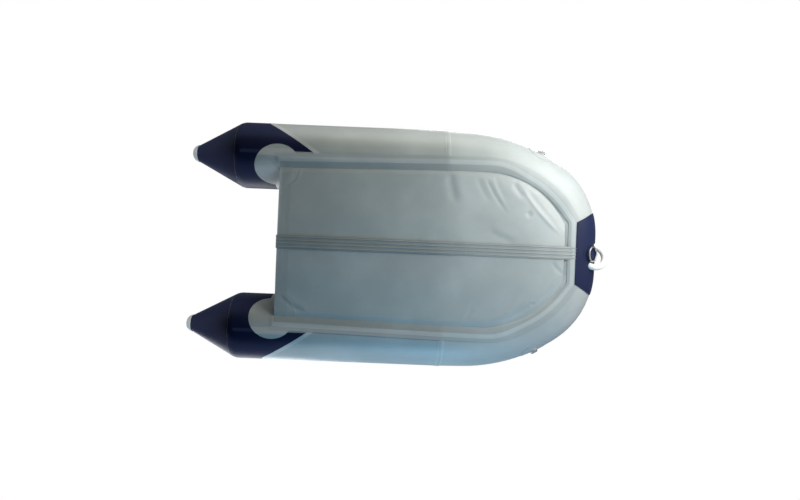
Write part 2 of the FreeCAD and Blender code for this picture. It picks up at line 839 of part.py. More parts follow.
def valves():
    """Inflation valves: a glued flange and a screw cap on each chamber and on the floor."""
    flange = size("valve_flange")
    height = size("valve_height")
    cap = ("valve_radius - 13", flange - 1, height)
    discs = [("valve_radius", -SINK, flange), cap]
    for name, side in SIDES.items():
        frame = tube_frame(side, size("valve_station"), -38)
        disc_stack(name + "_air_valve", frame, discs, name + "_air_valve")
    back = size("bow_valve_back")
    up = math.sqrt(size("tube_radius") ** 2 - back ** 2)
    nose = facing(bow_point(NOSE_X - back, 0, up),
                  BOW_TURN.multVec(FreeCAD.Vector(-back, 0, up)), (1, 0, 0))
    disc_stack("bow_air_valve", nose, discs, "bow_air_valve")
    top = size("floor_bottom") + size("floor_thick")
    well = facing((station(size("floor_aft") + size("floor_valve_ahead")),
                   size("floor_valve_side"), top), (0, 0, 1), (1, 0, 0))
    disc_stack("floor_air_valve", well, [("valve_radius", 0, flange), cap], "floor_air_valve")


def lift_handle(name, side):
    """Moulded grab handle: a bar on two feet over a glued pad."""
    frame = tube_frame(side, size("lift_handle_station"), 50)
    pad = make("Part::Box", name + "_grab_pad")
    pad.Length, pad.Width, pad.Height = 190, 70, 14
    on_frame(frame, pad, -95, -35, -10)
    pieces = [pad]
    for number, x in enumerate((-75, 55)):
        foot = make("Part::Box", "%s_grab_foot_%d" % (name, number))
        foot.Length, foot.Width, foot.Height = 20, 24, 36
        pieces.append(on_frame(frame, foot, x, -12, 0))
    bar = make("Part::Box", name + "_grab_bar")
    bar.Length, bar.Width, bar.Height = 150, 24, 10
    pieces.append(on_frame(frame, bar, -75, -12, 28))
    keep(cut(name + "_grab_fitted", join(name + "_grab_block", pieces), HULL),
         name + "_lift_handle")


def nose_point(angle, side, reach):
    """Point in front of the nose: angle from straight down, reach from the tube's axis."""
    lean = math.radians(angle)
    axis = bow_point(NOSE_X, 0, 0)
    return axis + FreeCAD.Vector(reach * math.sin(lean), side, -reach * math.cos(lean))


def arc_bar(start, middle, end, radius):
    """Round bar bent along the arc through three points."""
    arc = Part.Arc(start, middle, end).toShape().Curve
    first = arc.parameter(start)
    sweep = (arc.parameter(end) - first) % (2 * math.pi)
    disc = Part.Face(Part.Wire(Part.makeCircle(radius, start, arc.tangent(first)[0])))
    return disc.revolve(arc.Center, arc.Axis, math.degrees(sweep))


def bow_fitting():
    """Towing ring on a round patch, and a moulded carrying handle round it."""
    angle = size("bow_patch_angle")
    radius = size("tube_radius")
    centre = nose_point(angle, 0, radius)
    normal = (nose_point(angle, 0, radius + 1) - centre).normalize()
    frame = facing(centre, normal, (0, 1, 0))
    base_height = size("tow_base_height")
    disc_stack("tow_base", frame, [("patch_radius", -14, 4), ("tow_base_radius", 0, base_height)],
               "tow_patch")
    ring = make("Part::Torus", "tow_ring_round", Radius1="ring_radius", Radius2="ring_wire")
    on_frame(frame, ring, z=base_height + size("ring_wire"))
    keep(ring, "tow_ring")

    grip = size("handle_grip")
    start = nose_point(size("handle_port_angle"), size("handle_port"), radius)
    end = nose_point(size("handle_starboard_angle"), size("handle_starboard"), radius)
    front = FreeCAD.Vector(size("overall_length") / 2 - grip, size("handle_front_side"),
                           size("handle_front_height"))
    ends = []
    for number, point in enumerate((start, end)):
        ball = make("Part::Sphere", "tow_handle_end_%d" % number, Radius="handle_grip")
        ends.append(place(ball, point.x, point.y, point.z))
    bar = solid_feature("tow_handle_bar", arc_bar(start, front, end, grip))
    trimmed = cut("tow_handle_off_hull", join("tow_handle_block", [bar] + ends), HULL)
    base = DOC.getObject("tow_base_fitted")
    keep(cut("tow_handle_off_base", cut("tow_handle_off_ring", trimmed, ring), base), "tow_handle")


def side_ring(name, side):
    """Small ring on a round patch low on the bow's shoulder."""
    station_x = (size("side_ring_station") - size("seam_station")) / math.cos(math.radians(RISE))
    low = math.radians(90 - size("side_ring_angle"))
    radius = size("tube_radius")
    bend = size("quarter_curve")
    turn = math.asin((station_x - size("bow_run")) / (bend + radius * math.cos(low)))
    out = FreeCAD.Vector(math.sin(turn), side * math.cos(turn), 0)
    normal = out * math.cos(low) - FreeCAD.Vector(0, 0, math.sin(low))
    path = FreeCAD.Vector(size("bow_run") + bend * math.sin(turn),
                          side * (size("tube_offset") - bend * (1 - math.cos(turn))), 0)
    frame = facing(BOW_FRAME.multVec(path + normal * radius), BOW_TURN.multVec(normal), (0, 0, 1))
    disc_stack(name + "_side_base", frame,
               [("patch_radius", -16, 3), ("side_ring_radius + 8", 0, size("side_base_height"))],
               name + "_side_patch")
    ring = make("Part::Torus", name + "_side_ring_round", Radius1="side_ring_radius",
                Radius2="side_ring_wire")
    on_frame(frame, ring, z=size("side_base_height") + size("side_ring_wire"))
    keep(ring, name + "_side_ring")


for name, side in SIDES.items():
    oar(name, rowlock(name, side))
    oar_rest(name, side)
    lift_handle(name, side)
    side_ring(name, side)
valves()
bow_fitting()

# -------------------------------------------------------------- check and save
DOC.recompute()
for thing in DOC.Objects:
    if "Invalid" in thing.State or "Error" in thing.State:
        raise RuntimeError("failed feature: " + thing.Name)
os.makedirs("parts", exist_ok=True)
for thing in PARTS:
    shape = thing.Shape
    if shape.isNull() or not shape.isValid() or not shape.Solids:
        raise RuntimeError("bad shape: " + thing.Label)
    shape.exportStep("parts/%s.step" % thing.Label)
    box_now = shape.optimalBoundingBox()
    print("%-24s solids %d  volume %.4f m3  x %.0f..%.0f y %.0f..%.0f z %.1f..%.1f" % (
        thing.Label, len(shape.Solids), shape.Volume / 1e9, box_now.XMin, box_now.XMax,
        box_now.YMin, box_now.YMax, box_now.ZMin, box_now.ZMax))
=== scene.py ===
"""Looks of an inflatable dinghy, built around its packed construction model."""

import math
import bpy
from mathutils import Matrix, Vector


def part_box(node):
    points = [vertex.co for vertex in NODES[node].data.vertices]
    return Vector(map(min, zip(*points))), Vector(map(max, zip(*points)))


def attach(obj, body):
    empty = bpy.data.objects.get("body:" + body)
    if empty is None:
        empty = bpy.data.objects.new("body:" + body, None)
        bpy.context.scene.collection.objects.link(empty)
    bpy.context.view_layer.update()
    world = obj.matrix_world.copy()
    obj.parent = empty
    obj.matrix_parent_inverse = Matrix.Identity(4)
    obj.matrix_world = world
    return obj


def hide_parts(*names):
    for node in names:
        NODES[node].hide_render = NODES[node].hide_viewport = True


bl_info = {
    "name": "Dinghy Finisher",
    "version": (1, 0, 0),
    "blender": (4, 5, 0),
    "location": "3D View > Sidebar > Dinghy",
    "description": "Dresses a grey and navy inflatable dinghy: fabric, tapes, keel, floor and fittings",
    "category": "Object",
}

import bmesh
import bpy
from bpy.props import FloatProperty, FloatVectorProperty, IntProperty, PointerProperty
from mathutils import Matrix, Vector, noise
from mathutils.bvhtree import BVHTree

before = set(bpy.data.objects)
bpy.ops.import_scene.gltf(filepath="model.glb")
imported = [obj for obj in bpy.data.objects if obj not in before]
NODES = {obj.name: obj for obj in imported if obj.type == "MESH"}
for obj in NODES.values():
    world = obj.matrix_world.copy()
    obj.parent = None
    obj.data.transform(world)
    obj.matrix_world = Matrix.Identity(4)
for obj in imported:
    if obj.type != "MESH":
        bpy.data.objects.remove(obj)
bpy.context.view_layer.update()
SIDES = {"port": 1, "starboard": -1}

# ------------------------------------------------------- sizes read from the frame
TUBE_LOW, TUBE_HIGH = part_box("port_tube")
TUBE_RADIUS = (TUBE_HIGH.z - TUBE_LOW.z) / 2
TUBE_SIDE = (TUBE_HIGH.y + TUBE_LOW.y) / 2
CONE_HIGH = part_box("port_stern_cone")[1]
CAP_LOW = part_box("port_cone_cap")[0]
TRANSOM_LOW, TRANSOM_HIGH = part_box("transom")
KEEL_LOW, KEEL_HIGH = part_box("keel_strip")
SKIN_LOW, SKIN_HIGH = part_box("bottom_skin")
SEAM_X = SKIN_LOW.x + 1.020
RISE = math.radians(7.5)
QUARTER_BEND = 0.920
NOSE_BEND = 0.330
QUARTER_TURN = math.radians(34)
BOW_RUN = 0.160


# ------------------------------------------------------------------ shader maths
class Value:
    """A socket or number in a material's node tree that can be written in sums."""

    def __init__(self, finish, socket):
        self.finish = finish
        self.socket = socket

    def maths(self, operation, *others):
        return self.finish.add("ShaderNodeMath", {"operation": operation}, self, *others)

    def __add__(self, other):
        return self.maths("ADD", other)

    def __mul__(self, other):
        return self.maths("MULTIPLY", other)

    def sine(self):
        return self.maths("SINE")

    def at_least(self, other):
        return self.maths("MAXIMUM", other)

    def step(self, low, high):
        """0 below low, 1 above high, smooth between."""
        return self.finish.add("ShaderNodeMapRange", {"interpolation_type": "SMOOTHSTEP"},
                               self, low, high, 0.0, 1.0)


class Finish:
    """One procedural material."""

    def __init__(self, name):
        self.material = bpy.data.materials.new(name)
        self.material.use_nodes = True
        self.tree = self.material.node_tree
        self.shader = self.tree.nodes["Principled BSDF"]
        self.place = self.add("ShaderNodeTexCoord", {}, output="Object")

    def add(self, kind, settings, *values, output=0, **named):
        """A node with its settings made first, then its sockets' values or links."""
        node = self.tree.nodes.new(kind)
        for name, value in settings.items():
            setattr(node, name, value)
        for number, value in enumerate(values):
            self.feed(node.inputs[number], value)
        for name, value in named.items():
            self.feed(node.inputs[name.replace("_", " ")], value)
        return Value(self, node.outputs[output])

    def feed(self, socket, value):
        if isinstance(value, Value):
            self.tree.links.new(value.socket, socket)
        elif value is not None:
            if socket.type == "RGBA" and len(value) == 3:
                value = (*value, 1)
            socket.default_value = value

    def parts(self):
        """X, Y and Z of the surface point."""
        node = self.tree.nodes.new("ShaderNodeSeparateXYZ")
        self.feed(node.inputs[0], self.place)
        return [Value(self, socket) for socket in node.outputs]

    def noise(self, scale, detail=3.0, roughness=0.5, stretch=(1, 1, 1)):
        vector = self.add("ShaderNodeMapping", {}, self.place, None, None, stretch)
        return self.add("ShaderNodeTexNoise", {}, vector, None, scale, detail, roughness)

    def mix(self, mask, first, second):
        node = self.tree.nodes.new("ShaderNodeMix")
        node.data_type = "RGBA"
        self.feed(node.inputs["Factor"], mask)
        self.feed(node.inputs[6], first)
        self.feed(node.inputs[7], second)
        return Value(self, node.outputs[2])

    def bump(self, height, strength=0.3, distance=0.001, normal=None):
        return self.add("ShaderNodeBump", {}, Strength=strength, Distance=distance,
                        Height=height, Normal=normal)

    def surface(self, colour, roughness, normal=None, metallic=0.0, coat=0.0, shine=0.5):
        for name, value in (("Base Color", colour), ("Roughness", roughness), ("Normal", normal),
                            ("Metallic", metallic), ("Coat Weight", coat), ("Specular IOR Level", shine)):
            self.feed(self.shader.inputs[name], value)
        return self.material


# --------------------------------------------------------------------- finishes
def coated_fabric(name, colour, gloss=0.42, shine=0.4):
    """Welded PVC fabric: fine weave under a satin coat, with faint cloudy soiling."""
    f = Finish(name)
    x, y, z = f.parts()
    weave = (x * 2600).sine() * (y * 2600).sine() * (z * 2600).sine()
    cloud = f.noise(3.2, 4, 0.6)
    fine = f.noise(90, 2, 0.5)
    tint = f.mix(cloud.step(0.35, 0.75), [c * 0.93 for c in colour], [min(c * 1.05, 1) for c in colour])
    dirt = f.noise(11, 5, 0.65).step(0.62, 0.82) * 0.10
    shade = f.mix(dirt, tint, [c * 0.62 for c in colour])
    rough = cloud * 0.16 + fine * 0.08 + (gloss - 0.12)
    grain = f.bump(weave * 0.5 + fine, 0.12, 0.0004)
    ripple = f.bump(f.noise(7.5, 2, 0.45), 0.35, 0.004, grain)
    return f.surface(shade, rough, ripple, shine=shine)


def moulded(name, colour, roughness=0.45):
    """Injection-moulded plastic or rubber with a fine spark-eroded grain."""
    f = Finish(name)
    grain = f.noise(700, 2, 0.5)
    wear = f.noise(38, 4, 0.6).step(0.55, 0.8) * 0.25
    shade = f.mix(wear, colour, [min(c * 1.5 + 0.02, 1) for c in colour])
    return f.surface(shade, grain * 0.15 + (roughness - 0.05), f.bump(grain, 0.15, 0.0004))


def metal(name, colour, roughness, brushed=(1, 1, 1)):
    """Anodised or polished metal with fine draw lines."""
    f = Finish(name)
    lines = f.noise(420, 3, 0.6, brushed)
    smear = f.noise(14, 3, 0.5)
    shade = f.mix(smear, [c * 0.92 for c in colour], colour)
    return f.surface(shade, lines * 0.14 + smear * 0.08 + roughness, f.bump(lines, 0.08, 0.0003),
                     metallic=1.0)


def timber(name, colour):
    """Varnished plywood with grain lines across the boat."""
    f = Finish(name)
    stretch = (34, 1.6, 34)
    rings = f.noise(2.4, 6, 0.62, stretch)
    pores = f.noise(21, 3, 0.7, stretch)
    dark = [c * 0.55 for c in colour]
    shade = f.mix(rings.step(0.3, 0.72), dark, colour)
    shade = f.mix(pores.step(0.55, 0.75) * 0.3, shade, dark)
    return f.surface(shade, pores * 0.15 + 0.28, f.bump(rings + pores * 0.4, 0.12, 0.0006), coat=0.35)


class DinghySettings(bpy.types.PropertyGroup):
    grey: FloatVectorProperty(
        name="Tube grey", description="Colour of the light grey fabric", subtype="COLOR",
        default=(0.40, 0.43, 0.43), min=0, max=1)
    navy: FloatVectorProperty(
        name="Navy", description="Colour of the dark panels and stern cones", subtype="COLOR",
        default=(0.010, 0.016, 0.055), min=0, max=1)
    camera_depth: FloatProperty(
        name="Camera depth", description="How far below the floor the camera is",
        default=3.6, min=1, max=10, unit="LENGTH")


def settings():
    return bpy.context.scene.dinghy


def dress(names, material):
    """Give carried-over nodes a finish."""
    for name in names:
        for place in NODES[name].material_slots:
            place.material = material


class DINGHY_OT_finishes(bpy.types.Operator):
    """Give every carried-over piece its finish"""
    bl_idname = "dinghy.finishes"
    bl_label = "Finishes"

    def execute(self, context):
        grey = list(settings().grey)
        navy = list(settings().navy)
        fabric = coated_fabric("grey coated fabric", grey)
        dark = coated_fabric("navy coated fabric", navy, 0.5, 0.18)
        MATERIALS["grey"] = fabric
        MATERIALS["navy"] = dark
        MATERIALS["bottom"] = coated_fabric("bottom coated fabric", [c * 0.97 for c in grey], 0.4)
        MATERIALS["tape"] = coated_fabric("seam tape", [c * 0.92 for c in grey], 0.44)
        # Each layer tape is a lighter or darker copy of one tape grey: painted highlight and painted shade
        # standing in for the light caught at each layer's step.
        for title, step_light_tone in (("cover", 0.90), ("joint", 1.08), ("flange", 0.82)):
            MATERIALS["tape_" + title] = coated_fabric("%s tape" % title, [c * step_light_tone for c in grey], 0.42)
        floor = coated_fabric("floor coated fabric", [c * 0.8 for c in grey], 0.5)
        rubber = moulded("black rubber", (0.018, 0.019, 0.022), 0.5)
        plastic = moulded("black plastic", (0.022, 0.023, 0.026), 0.4)
        steel = metal("polished steel", (0.62, 0.62, 0.63), 0.16)
        alloy = metal("oar alloy", (0.74, 0.75, 0.77), 0.28, (0.1, 1, 1))
        pale = moulded("pale cap", (0.52, 0.55, 0.55), 0.4)
        blue = moulded("navy rubber", (0.012, 0.017, 0.05), 0.5)
        MATERIALS.update({
            "rubber": rubber, "plastic": plastic, "steel": steel,
            "keel": coated_fabric("keel rubber", [c * 0.76 for c in grey], 0.46),
            # The lap fabric is the grey made lighter: a painted highlight along the raised laps and welded
            # bands.
            "lap": coated_fabric("lap fabric with painted highlight", [c * 1.2 for c in grey], 0.42),
            "tread": moulded("floor tread", [c * 0.45 for c in grey], 0.6),
            "transom": timber("painted transom", (0.36, 0.38, 0.38)),
            "bench": timber("bench plywood", (0.46, 0.29, 0.13)),
            "blade": moulded("navy blade", (0.014, 0.022, 0.075), 0.35)})
        dress(["port_tube", "starboard_tube", "bow_tube"], fabric)
        dress(["port_stern_cone", "starboard_stern_cone"], dark)
        dress(["port_cone_cap", "starboard_cone_cap"], pale)
        dress(["air_floor"], floor)
        dress(["drain_socket", "drain_cap"], plastic)
        dress(["tow_handle"], moulded("white moulding", (0.78, 0.78, 0.75), 0.38))
        dress(["bow_strake", "port_strake", "starboard_strake"], blue)
        dress(["tow_ring", "port_side_ring", "starboard_side_ring"], steel)
        dress(["bow_air_valve", "floor_air_valve"], plastic)
        for name in SIDES:
            dress([name + "_air_valve", name + "_oar_collar"], plastic)
            dress([name + "_rowlock_base"], rubber)
            dress([name + "_oar_shaft"], alloy)
        return {"FINISHED"}


# ----------------------------------------------------------- where surfaces lie
def unit(value):
    return max(0.0, min(1.0, value))


def smooth(low, high, value):
    """0 below low, 1 above high, smooth between."""
    part = unit((value - low) / (high - low))
    return part * part * (3 - 2 * part)


AFT_X = CAP_LOW.x
SEAM_RUN = SEAM_X - AFT_X
TRANSOM_RUN = TRANSOM_LOW.x - AFT_X
HALF_NOSE = TUBE_SIDE - (QUARTER_BEND - NOSE_BEND) * (1 - math.cos(QUARTER_TURN)) - NOSE_BEND
QUARTER_RUN = QUARTER_BEND * QUARTER_TURN
NOSE_RUN = NOSE_BEND * (math.pi / 2 - QUARTER_TURN)
HALF_RUN = SEAM_RUN + BOW_RUN + QUARTER_RUN + NOSE_RUN + HALF_NOSE
BOW_FRAME = Matrix.Translation((SEAM_X, 0, TUBE_RADIUS)) @ Matrix.Rotation(-RISE, 4, "Y")


def path_point(run, angle=-0.35):
    """Centre, outboard and up directions of one side's tube, run metres from the cone tip.

    The chambers meet on a slanting plane, so where the bow's frame takes over
    depends on the angle round the tube.
    """
    slant = TUBE_RADIUS * math.cos(angle) * math.tan(RISE / 2)
    past = run - SEAM_RUN
    if past < slant:
        return Vector((AFT_X + run, TUBE_SIDE, TUBE_RADIUS)), Vector((0, 1, 0)), Vector((0, 0, 1))
    ahead = past - 2 * slant * (1 - smooth(slant, 0.3, past))
    turn = min(max(ahead - BOW_RUN, 0) / QUARTER_BEND, QUARTER_TURN)
    x = min(ahead, BOW_RUN) + QUARTER_BEND * math.sin(turn)
    y = TUBE_SIDE - QUARTER_BEND * (1 - math.cos(turn))
    past = max(ahead - BOW_RUN - QUARTER_RUN, 0)
    more = min(past / NOSE_BEND, math.pi / 2 - QUARTER_TURN)
    x += NOSE_BEND * (math.sin(QUARTER_TURN + more) - math.sin(QUARTER_TURN))
    y += NOSE_BEND * (math.cos(QUARTER_TURN + more) - math.cos(QUARTER_TURN))
    y -= max(past - NOSE_RUN, 0)
    turn += more
    spin = BOW_FRAME.to_3x3()
    out = spin @ Vector((math.sin(turn), math.cos(turn), 0))
    return BOW_FRAME @ Vector((x, y, 0)), out, spin @ Vector((0, 0, 1))


def on_tube(side, run, angle, reach):
    """Point on a tube: angle from straight down, outboard positive, reach from its centre line."""
    centre, out, up = path_point(run, angle)
    point = centre + (out * math.sin(angle) - up * math.cos(angle)) * reach
    point.y *= side
    return point


def tube_row(side, places):
    """Skin points and normals for a list of (run, angle)."""
    row = []
    for run, angle in places:
        point = on_tube(side, run, angle, TUBE_RADIUS)
        row.append((point, (on_tube(side, run, angle, TUBE_RADIUS + 1) - point).normalized()))
    return row


def find_on_tube(point):
    """Run and angle of the tube's skin nearest to a point on the port side."""
    near = min((i * 0.002 for i in range(int(HALF_RUN / 0.002))),
               key=lambda run: (path_point(run)[0] - point).length)
    centre, out, up = path_point(near)
    away = point - centre
    return near, math.atan2(away.dot(out), -away.dot(up))


# ------------------------------------------------------------------ mesh makers
def new_piece(name, mesh, material, body="hull"):
    """Link a finished mesh as a piece of the object."""
    piece = bpy.data.objects.new(name, mesh)
    bpy.context.collection.objects.link(piece)
    mesh.materials.clear()
    mesh.materials.append(material)
    for polygon in mesh.polygons:
        polygon.use_smooth = True
    mesh.set_sharp_from_angle(angle=math.radians(40))
    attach(piece, body)
    return piece


def to_mesh(name, build):
    """Merge doubles, turn the faces out and make a mesh."""
    bmesh.ops.remove_doubles(build, verts=build.verts, dist=0.00002)
    bmesh.ops.dissolve_degenerate(build, edges=build.edges, dist=0.00001)
    bmesh.ops.recalc_face_normals(build, faces=build.faces)
    mesh = bpy.data.meshes.new(name)
    build.to_mesh(mesh)
    build.free()
    return mesh


def add_slab(build, rows, lift, sink, around=False):
    """Closed thin sheet from rows of (point, normal): raised by lift, sunk by sink."""
    layers = []
    for offset in (lift, -sink):
        layers.append([[build.verts.new(point + normal * offset) for point, normal in row]
                       for row in rows])
    high, low = layers
    last = len(rows) - 1
    wide = len(rows[0]) - 1
    for i in range(last):
        for j in range(wide):
            build.faces.new((high[i][j], high[i + 1][j], high[i + 1][j + 1], high[i][j + 1]))
            build.faces.new((low[i][j], low[i][j + 1], low[i + 1][j + 1], low[i + 1][j]))
        for j in ((0, wide) if not around else ()):
            build.faces.new((high[i][j], high[i + 1][j], low[i + 1][j], low[i][j]))
    for i in (0, last):
        for j in range(wide):
            build.faces.new((high[i][j], high[i][j + 1], low[i][j + 1], low[i][j]))


def slab(name, rows, lift, sink, around=False):
    build = bmesh.new()
    add_slab(build, rows, lift, sink, around)
    return to_mesh(name, build)


def glued(name, rows, lift, sink, finish, around=False):
    """A thin sheet of fabric, as a piece of the hull."""
    return new_piece(name, slab(name, rows, lift, sink, around), MATERIALS[finish])


def add_loops(build, loops):
    """Closed skin over a stack of closed loops of points, capped at both ends."""
    rings = [[build.verts.new(point) for point in loop] for loop in loops]
    count = len(rings[0])
    for first, second in zip(rings, rings[1:]):
        for j in range(count):
            k = (j + 1) % count
            build.faces.new((first[j], first[k], second[k], second[j]))
    build.faces.new(rings[0])
    build.faces.new(rings[-1])


def lathe(build, base, axis, profile, count=40):
    """Round turning: profile of (radius, height) up an axis from base."""
    axis = axis.normalized()
    across = axis.orthogonal().normalized()
    other = axis.cross(across)
    loops = []
    for radius, height in profile:
        turns = [2 * math.pi * i / count for i in range(count)]
        loops.append([base + axis * height + (across * math.cos(a) + other * math.sin(a)) * radius
                      for a in turns])
    add_loops(build, loops)


def sweep(build, points, up, width, height, count=16, taper=None):
    """Oval bar along a list of points; up is its flat side's direction."""
    loops = []
    for i, point in enumerate(points):
        way = points[min(i + 1, len(points) - 1)] - points[max(i - 1, 0)]
        side = way.cross(up).normalized()
        rise = side.cross(way).normalized()
        grow = taper(i / (len(points) - 1)) if taper else 1
        turns = [2 * math.pi * j / count for j in range(count)]
        loops.append([point + (side * width * math.cos(a) + rise * height * math.sin(a)) * grow / 2
                      for a in turns])
    add_loops(build, loops)


def softened(name, node, material, width):
    """A copy of a carried-over node with its sharp edges rounded."""
    build = bmesh.new()
    build.from_mesh(NODES[node].data)
    bmesh.ops.remove_doubles(build, verts=build.verts, dist=0.00002)
    bmesh.ops.dissolve_limit(build, angle_limit=math.radians(2), verts=build.verts, edges=build.edges)
    mesh = bpy.data.meshes.new(name)
    build.to_mesh(mesh)
    build.free()
    piece = new_piece(name, mesh, material)
    bevel = piece.modifiers.new("rounded edges", "BEVEL")
    bevel.width = width
    bevel.segments = 2
    bevel.limit_method = "ANGLE"
    bevel.angle_limit = math.radians(35)
    bake(piece)
    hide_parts(node)
    return piece


def surface_of(node):
    """A carried-over node as a surface that rays can be cast at."""
    build = bmesh.new()
    build.from_mesh(NODES[node].data)
    tree = BVHTree.FromBMesh(build)
    build.free()
    return tree


def upright_ray(tree, x, y, way):
    """Point and normal where an upright ray meets a surface; way is 1 from below, -1 from above."""
    return tree.ray_cast(Vector((x, y, -way)), Vector((0, 0, way)))[:2]


def bake(piece):
    """Turn a piece's modifiers into its mesh."""
    graph = bpy.context.evaluated_depsgraph_get()
    mesh = bpy.data.meshes.new_from_object(piece.evaluated_get(graph))
    piece.modifiers.clear()
    piece.data = mesh


# --------------------------------------------------------------- geometry nodes
class Tree:
    """A geometry node tree with named inputs."""

    def __init__(self, name, inputs):
        self.group = bpy.data.node_groups.new(name, "GeometryNodeTree")
        face = self.group.interface
        face.new_socket("Layout", in_out="INPUT", socket_type="NodeSocketGeometry")
        for label, value in inputs.items():
            socket = face.new_socket(label, in_out="INPUT", socket_type="NodeSocketFloat")
            socket.default_value = value
        face.new_socket("Finish", in_out="INPUT", socket_type="NodeSocketMaterial")
        face.new_socket("Pieces", in_out="OUTPUT", socket_type="NodeSocketGeometry")
        self.entry = self.group.nodes.new("NodeGroupInput")

    def add(self, kind, settings=None, **sockets):
        node = self.group.nodes.new(kind)
        for name, value in (settings or {}).items():
            setattr(node, name, value)
        for name, value in sockets.items():
            socket = node.inputs[name.replace("_", " ")]
            if hasattr(value, "is_output"):
                self.group.links.new(value, socket)
            else:
                socket.default_value = value
        return node

    def given(self, label):
        return self.entry.outputs[label]

    def maths(self, operation, first, second):
        node = self.add("ShaderNodeMath", {"operation": operation})
        self.group.links.new(first, node.inputs[0])
        if hasattr(second, "is_output"):
            self.group.links.new(second, node.inputs[1])
        else:
            node.inputs[1].default_value = second
        return node.outputs[0]

    def finish(self, shapes):
        """End in realized instances with their material set."""
        whole = self.add("GeometryNodeRealizeInstances", Geometry=shapes)
        coloured = self.add("GeometryNodeSetMaterial", Geometry=whole.outputs[0],
                            Material=self.given("Finish"))
        leave = self.group.nodes.new("NodeGroupOutput")
        self.group.links.new(coloured.outputs[0], leave.inputs[0])
        return self.group


def stud_tree(name, sides):
    """One many-sided stud on every point of the layout, turned by the point's own angles."""
    tree = Tree(name, {"Radius": 0.005, "Height": 0.002, "Stretch": 1.0})
    stud = tree.add("GeometryNodeMeshCylinder", Vertices=sides, Radius=tree.given("Radius"),
                    Depth=tree.given("Height"))
    turn = tree.add("GeometryNodeInputNamedAttribute", {"data_type": "FLOAT_VECTOR"}, Name="turn")
    spin = tree.add("FunctionNodeEulerToRotation", Euler=turn.outputs[0])
    shape = tree.add("ShaderNodeCombineXYZ", X=tree.given("Stretch"), Y=1.0, Z=1.0)
    placed = tree.add("GeometryNodeInstanceOnPoints", Points=tree.given("Layout"),
                      Instance=stud.outputs[0], Rotation=spin.outputs[0], Scale=shape.outputs[0])
    return tree.finish(placed.outputs[0])


def strip_tree(name):
    """Rounded ribs side by side along the layout's line, on one flat band."""
    tree = Tree(name, {"Rib pitch": 0.021, "Rib width": 0.009, "Rib height": 0.004,
                       "Band width": 0.082, "Band thickness": 0.002, "Ribs": 4.0})
    line = tree.add("GeometryNodeMeshToCurve", Mesh=tree.given("Layout"))
    oval = tree.add("GeometryNodeCurvePrimitiveCircle", Resolution=14, Radius=0.5)
    wide = tree.add("ShaderNodeCombineXYZ", X=tree.given("Rib width"), Y=tree.given("Rib height"), Z=1.0)
    shaped = tree.add("GeometryNodeTransform", Geometry=oval.outputs[0], Scale=wide.outputs[0])
    rib = tree.add("GeometryNodeCurveToMesh", Curve=line.outputs[0],
                   Profile_Curve=shaped.outputs[0], Fill_Caps=True)
    apart = tree.add("ShaderNodeCombineXYZ", Y=tree.given("Rib pitch"))
    span = tree.maths("MULTIPLY", tree.maths("SUBTRACT", tree.given("Ribs"), 1.0), tree.given("Rib pitch"))
    first = tree.add("ShaderNodeCombineXYZ", Y=tree.maths("MULTIPLY", span, -0.5))
    row = tree.add("GeometryNodeMeshLine", {"mode": "OFFSET"}, Count=tree.given("Ribs"),
                   Start_Location=first.outputs[0], Offset=apart.outputs[0])
    ribs = tree.add("GeometryNodeInstanceOnPoints", Points=row.outputs[0], Instance=rib.outputs[0])
    flat = tree.add("GeometryNodeCurvePrimitiveQuadrilateral", Width=tree.given("Band width"),
                    Height=tree.given("Band thickness"))
    band = tree.add("GeometryNodeCurveToMesh", Curve=line.outputs[0], Profile_Curve=flat.outputs[0],
                    Fill_Caps=True)
    both = tree.group.nodes.new("GeometryNodeJoinGeometry")
    tree.group.links.new(ribs.outputs[0], both.inputs[0])
    tree.group.links.new(band.outputs[0], both.inputs[0])
    return tree.finish(both.outputs[0])


def grown(name, layout, tree, values, material):
    """Run a tree on a layout mesh and keep the result as a plain piece."""
    carrier = bpy.data.objects.new(name, layout)
    bpy.context.collection.objects.link(carrier)
    modifier = carrier.modifiers.new(name, "NODES")
    modifier.node_group = tree
    for item in tree.interface.items_tree:
        if item.in_out == "INPUT" and item.name in values:
            modifier[item.identifier] = values[item.name]
        elif item.in_out == "INPUT" and item.name == "Finish":
            modifier[item.identifier] = material
    graph = bpy.context.evaluated_depsgraph_get()
    mesh = bpy.data.meshes.new_from_object(carrier.evaluated_get(graph))
    bpy.data.objects.remove(carrier)
    mesh.name = name
    return new_piece(name, mesh, material)


def layout_points(name, places):
    """Loose points for a stud tree: (point, direction that the stud stands along)."""
    mesh = bpy.data.meshes.new(name)
    mesh.from_pydata([point for point, way in places], [], [])
    turns = mesh.attributes.new("turn", "FLOAT_VECTOR", "POINT")
    for item, (point, way) in zip(turns.data, places):
        item.vector = Vector(way).to_track_quat("Z", "X").to_euler()
    return mesh


MATERIALS = {}


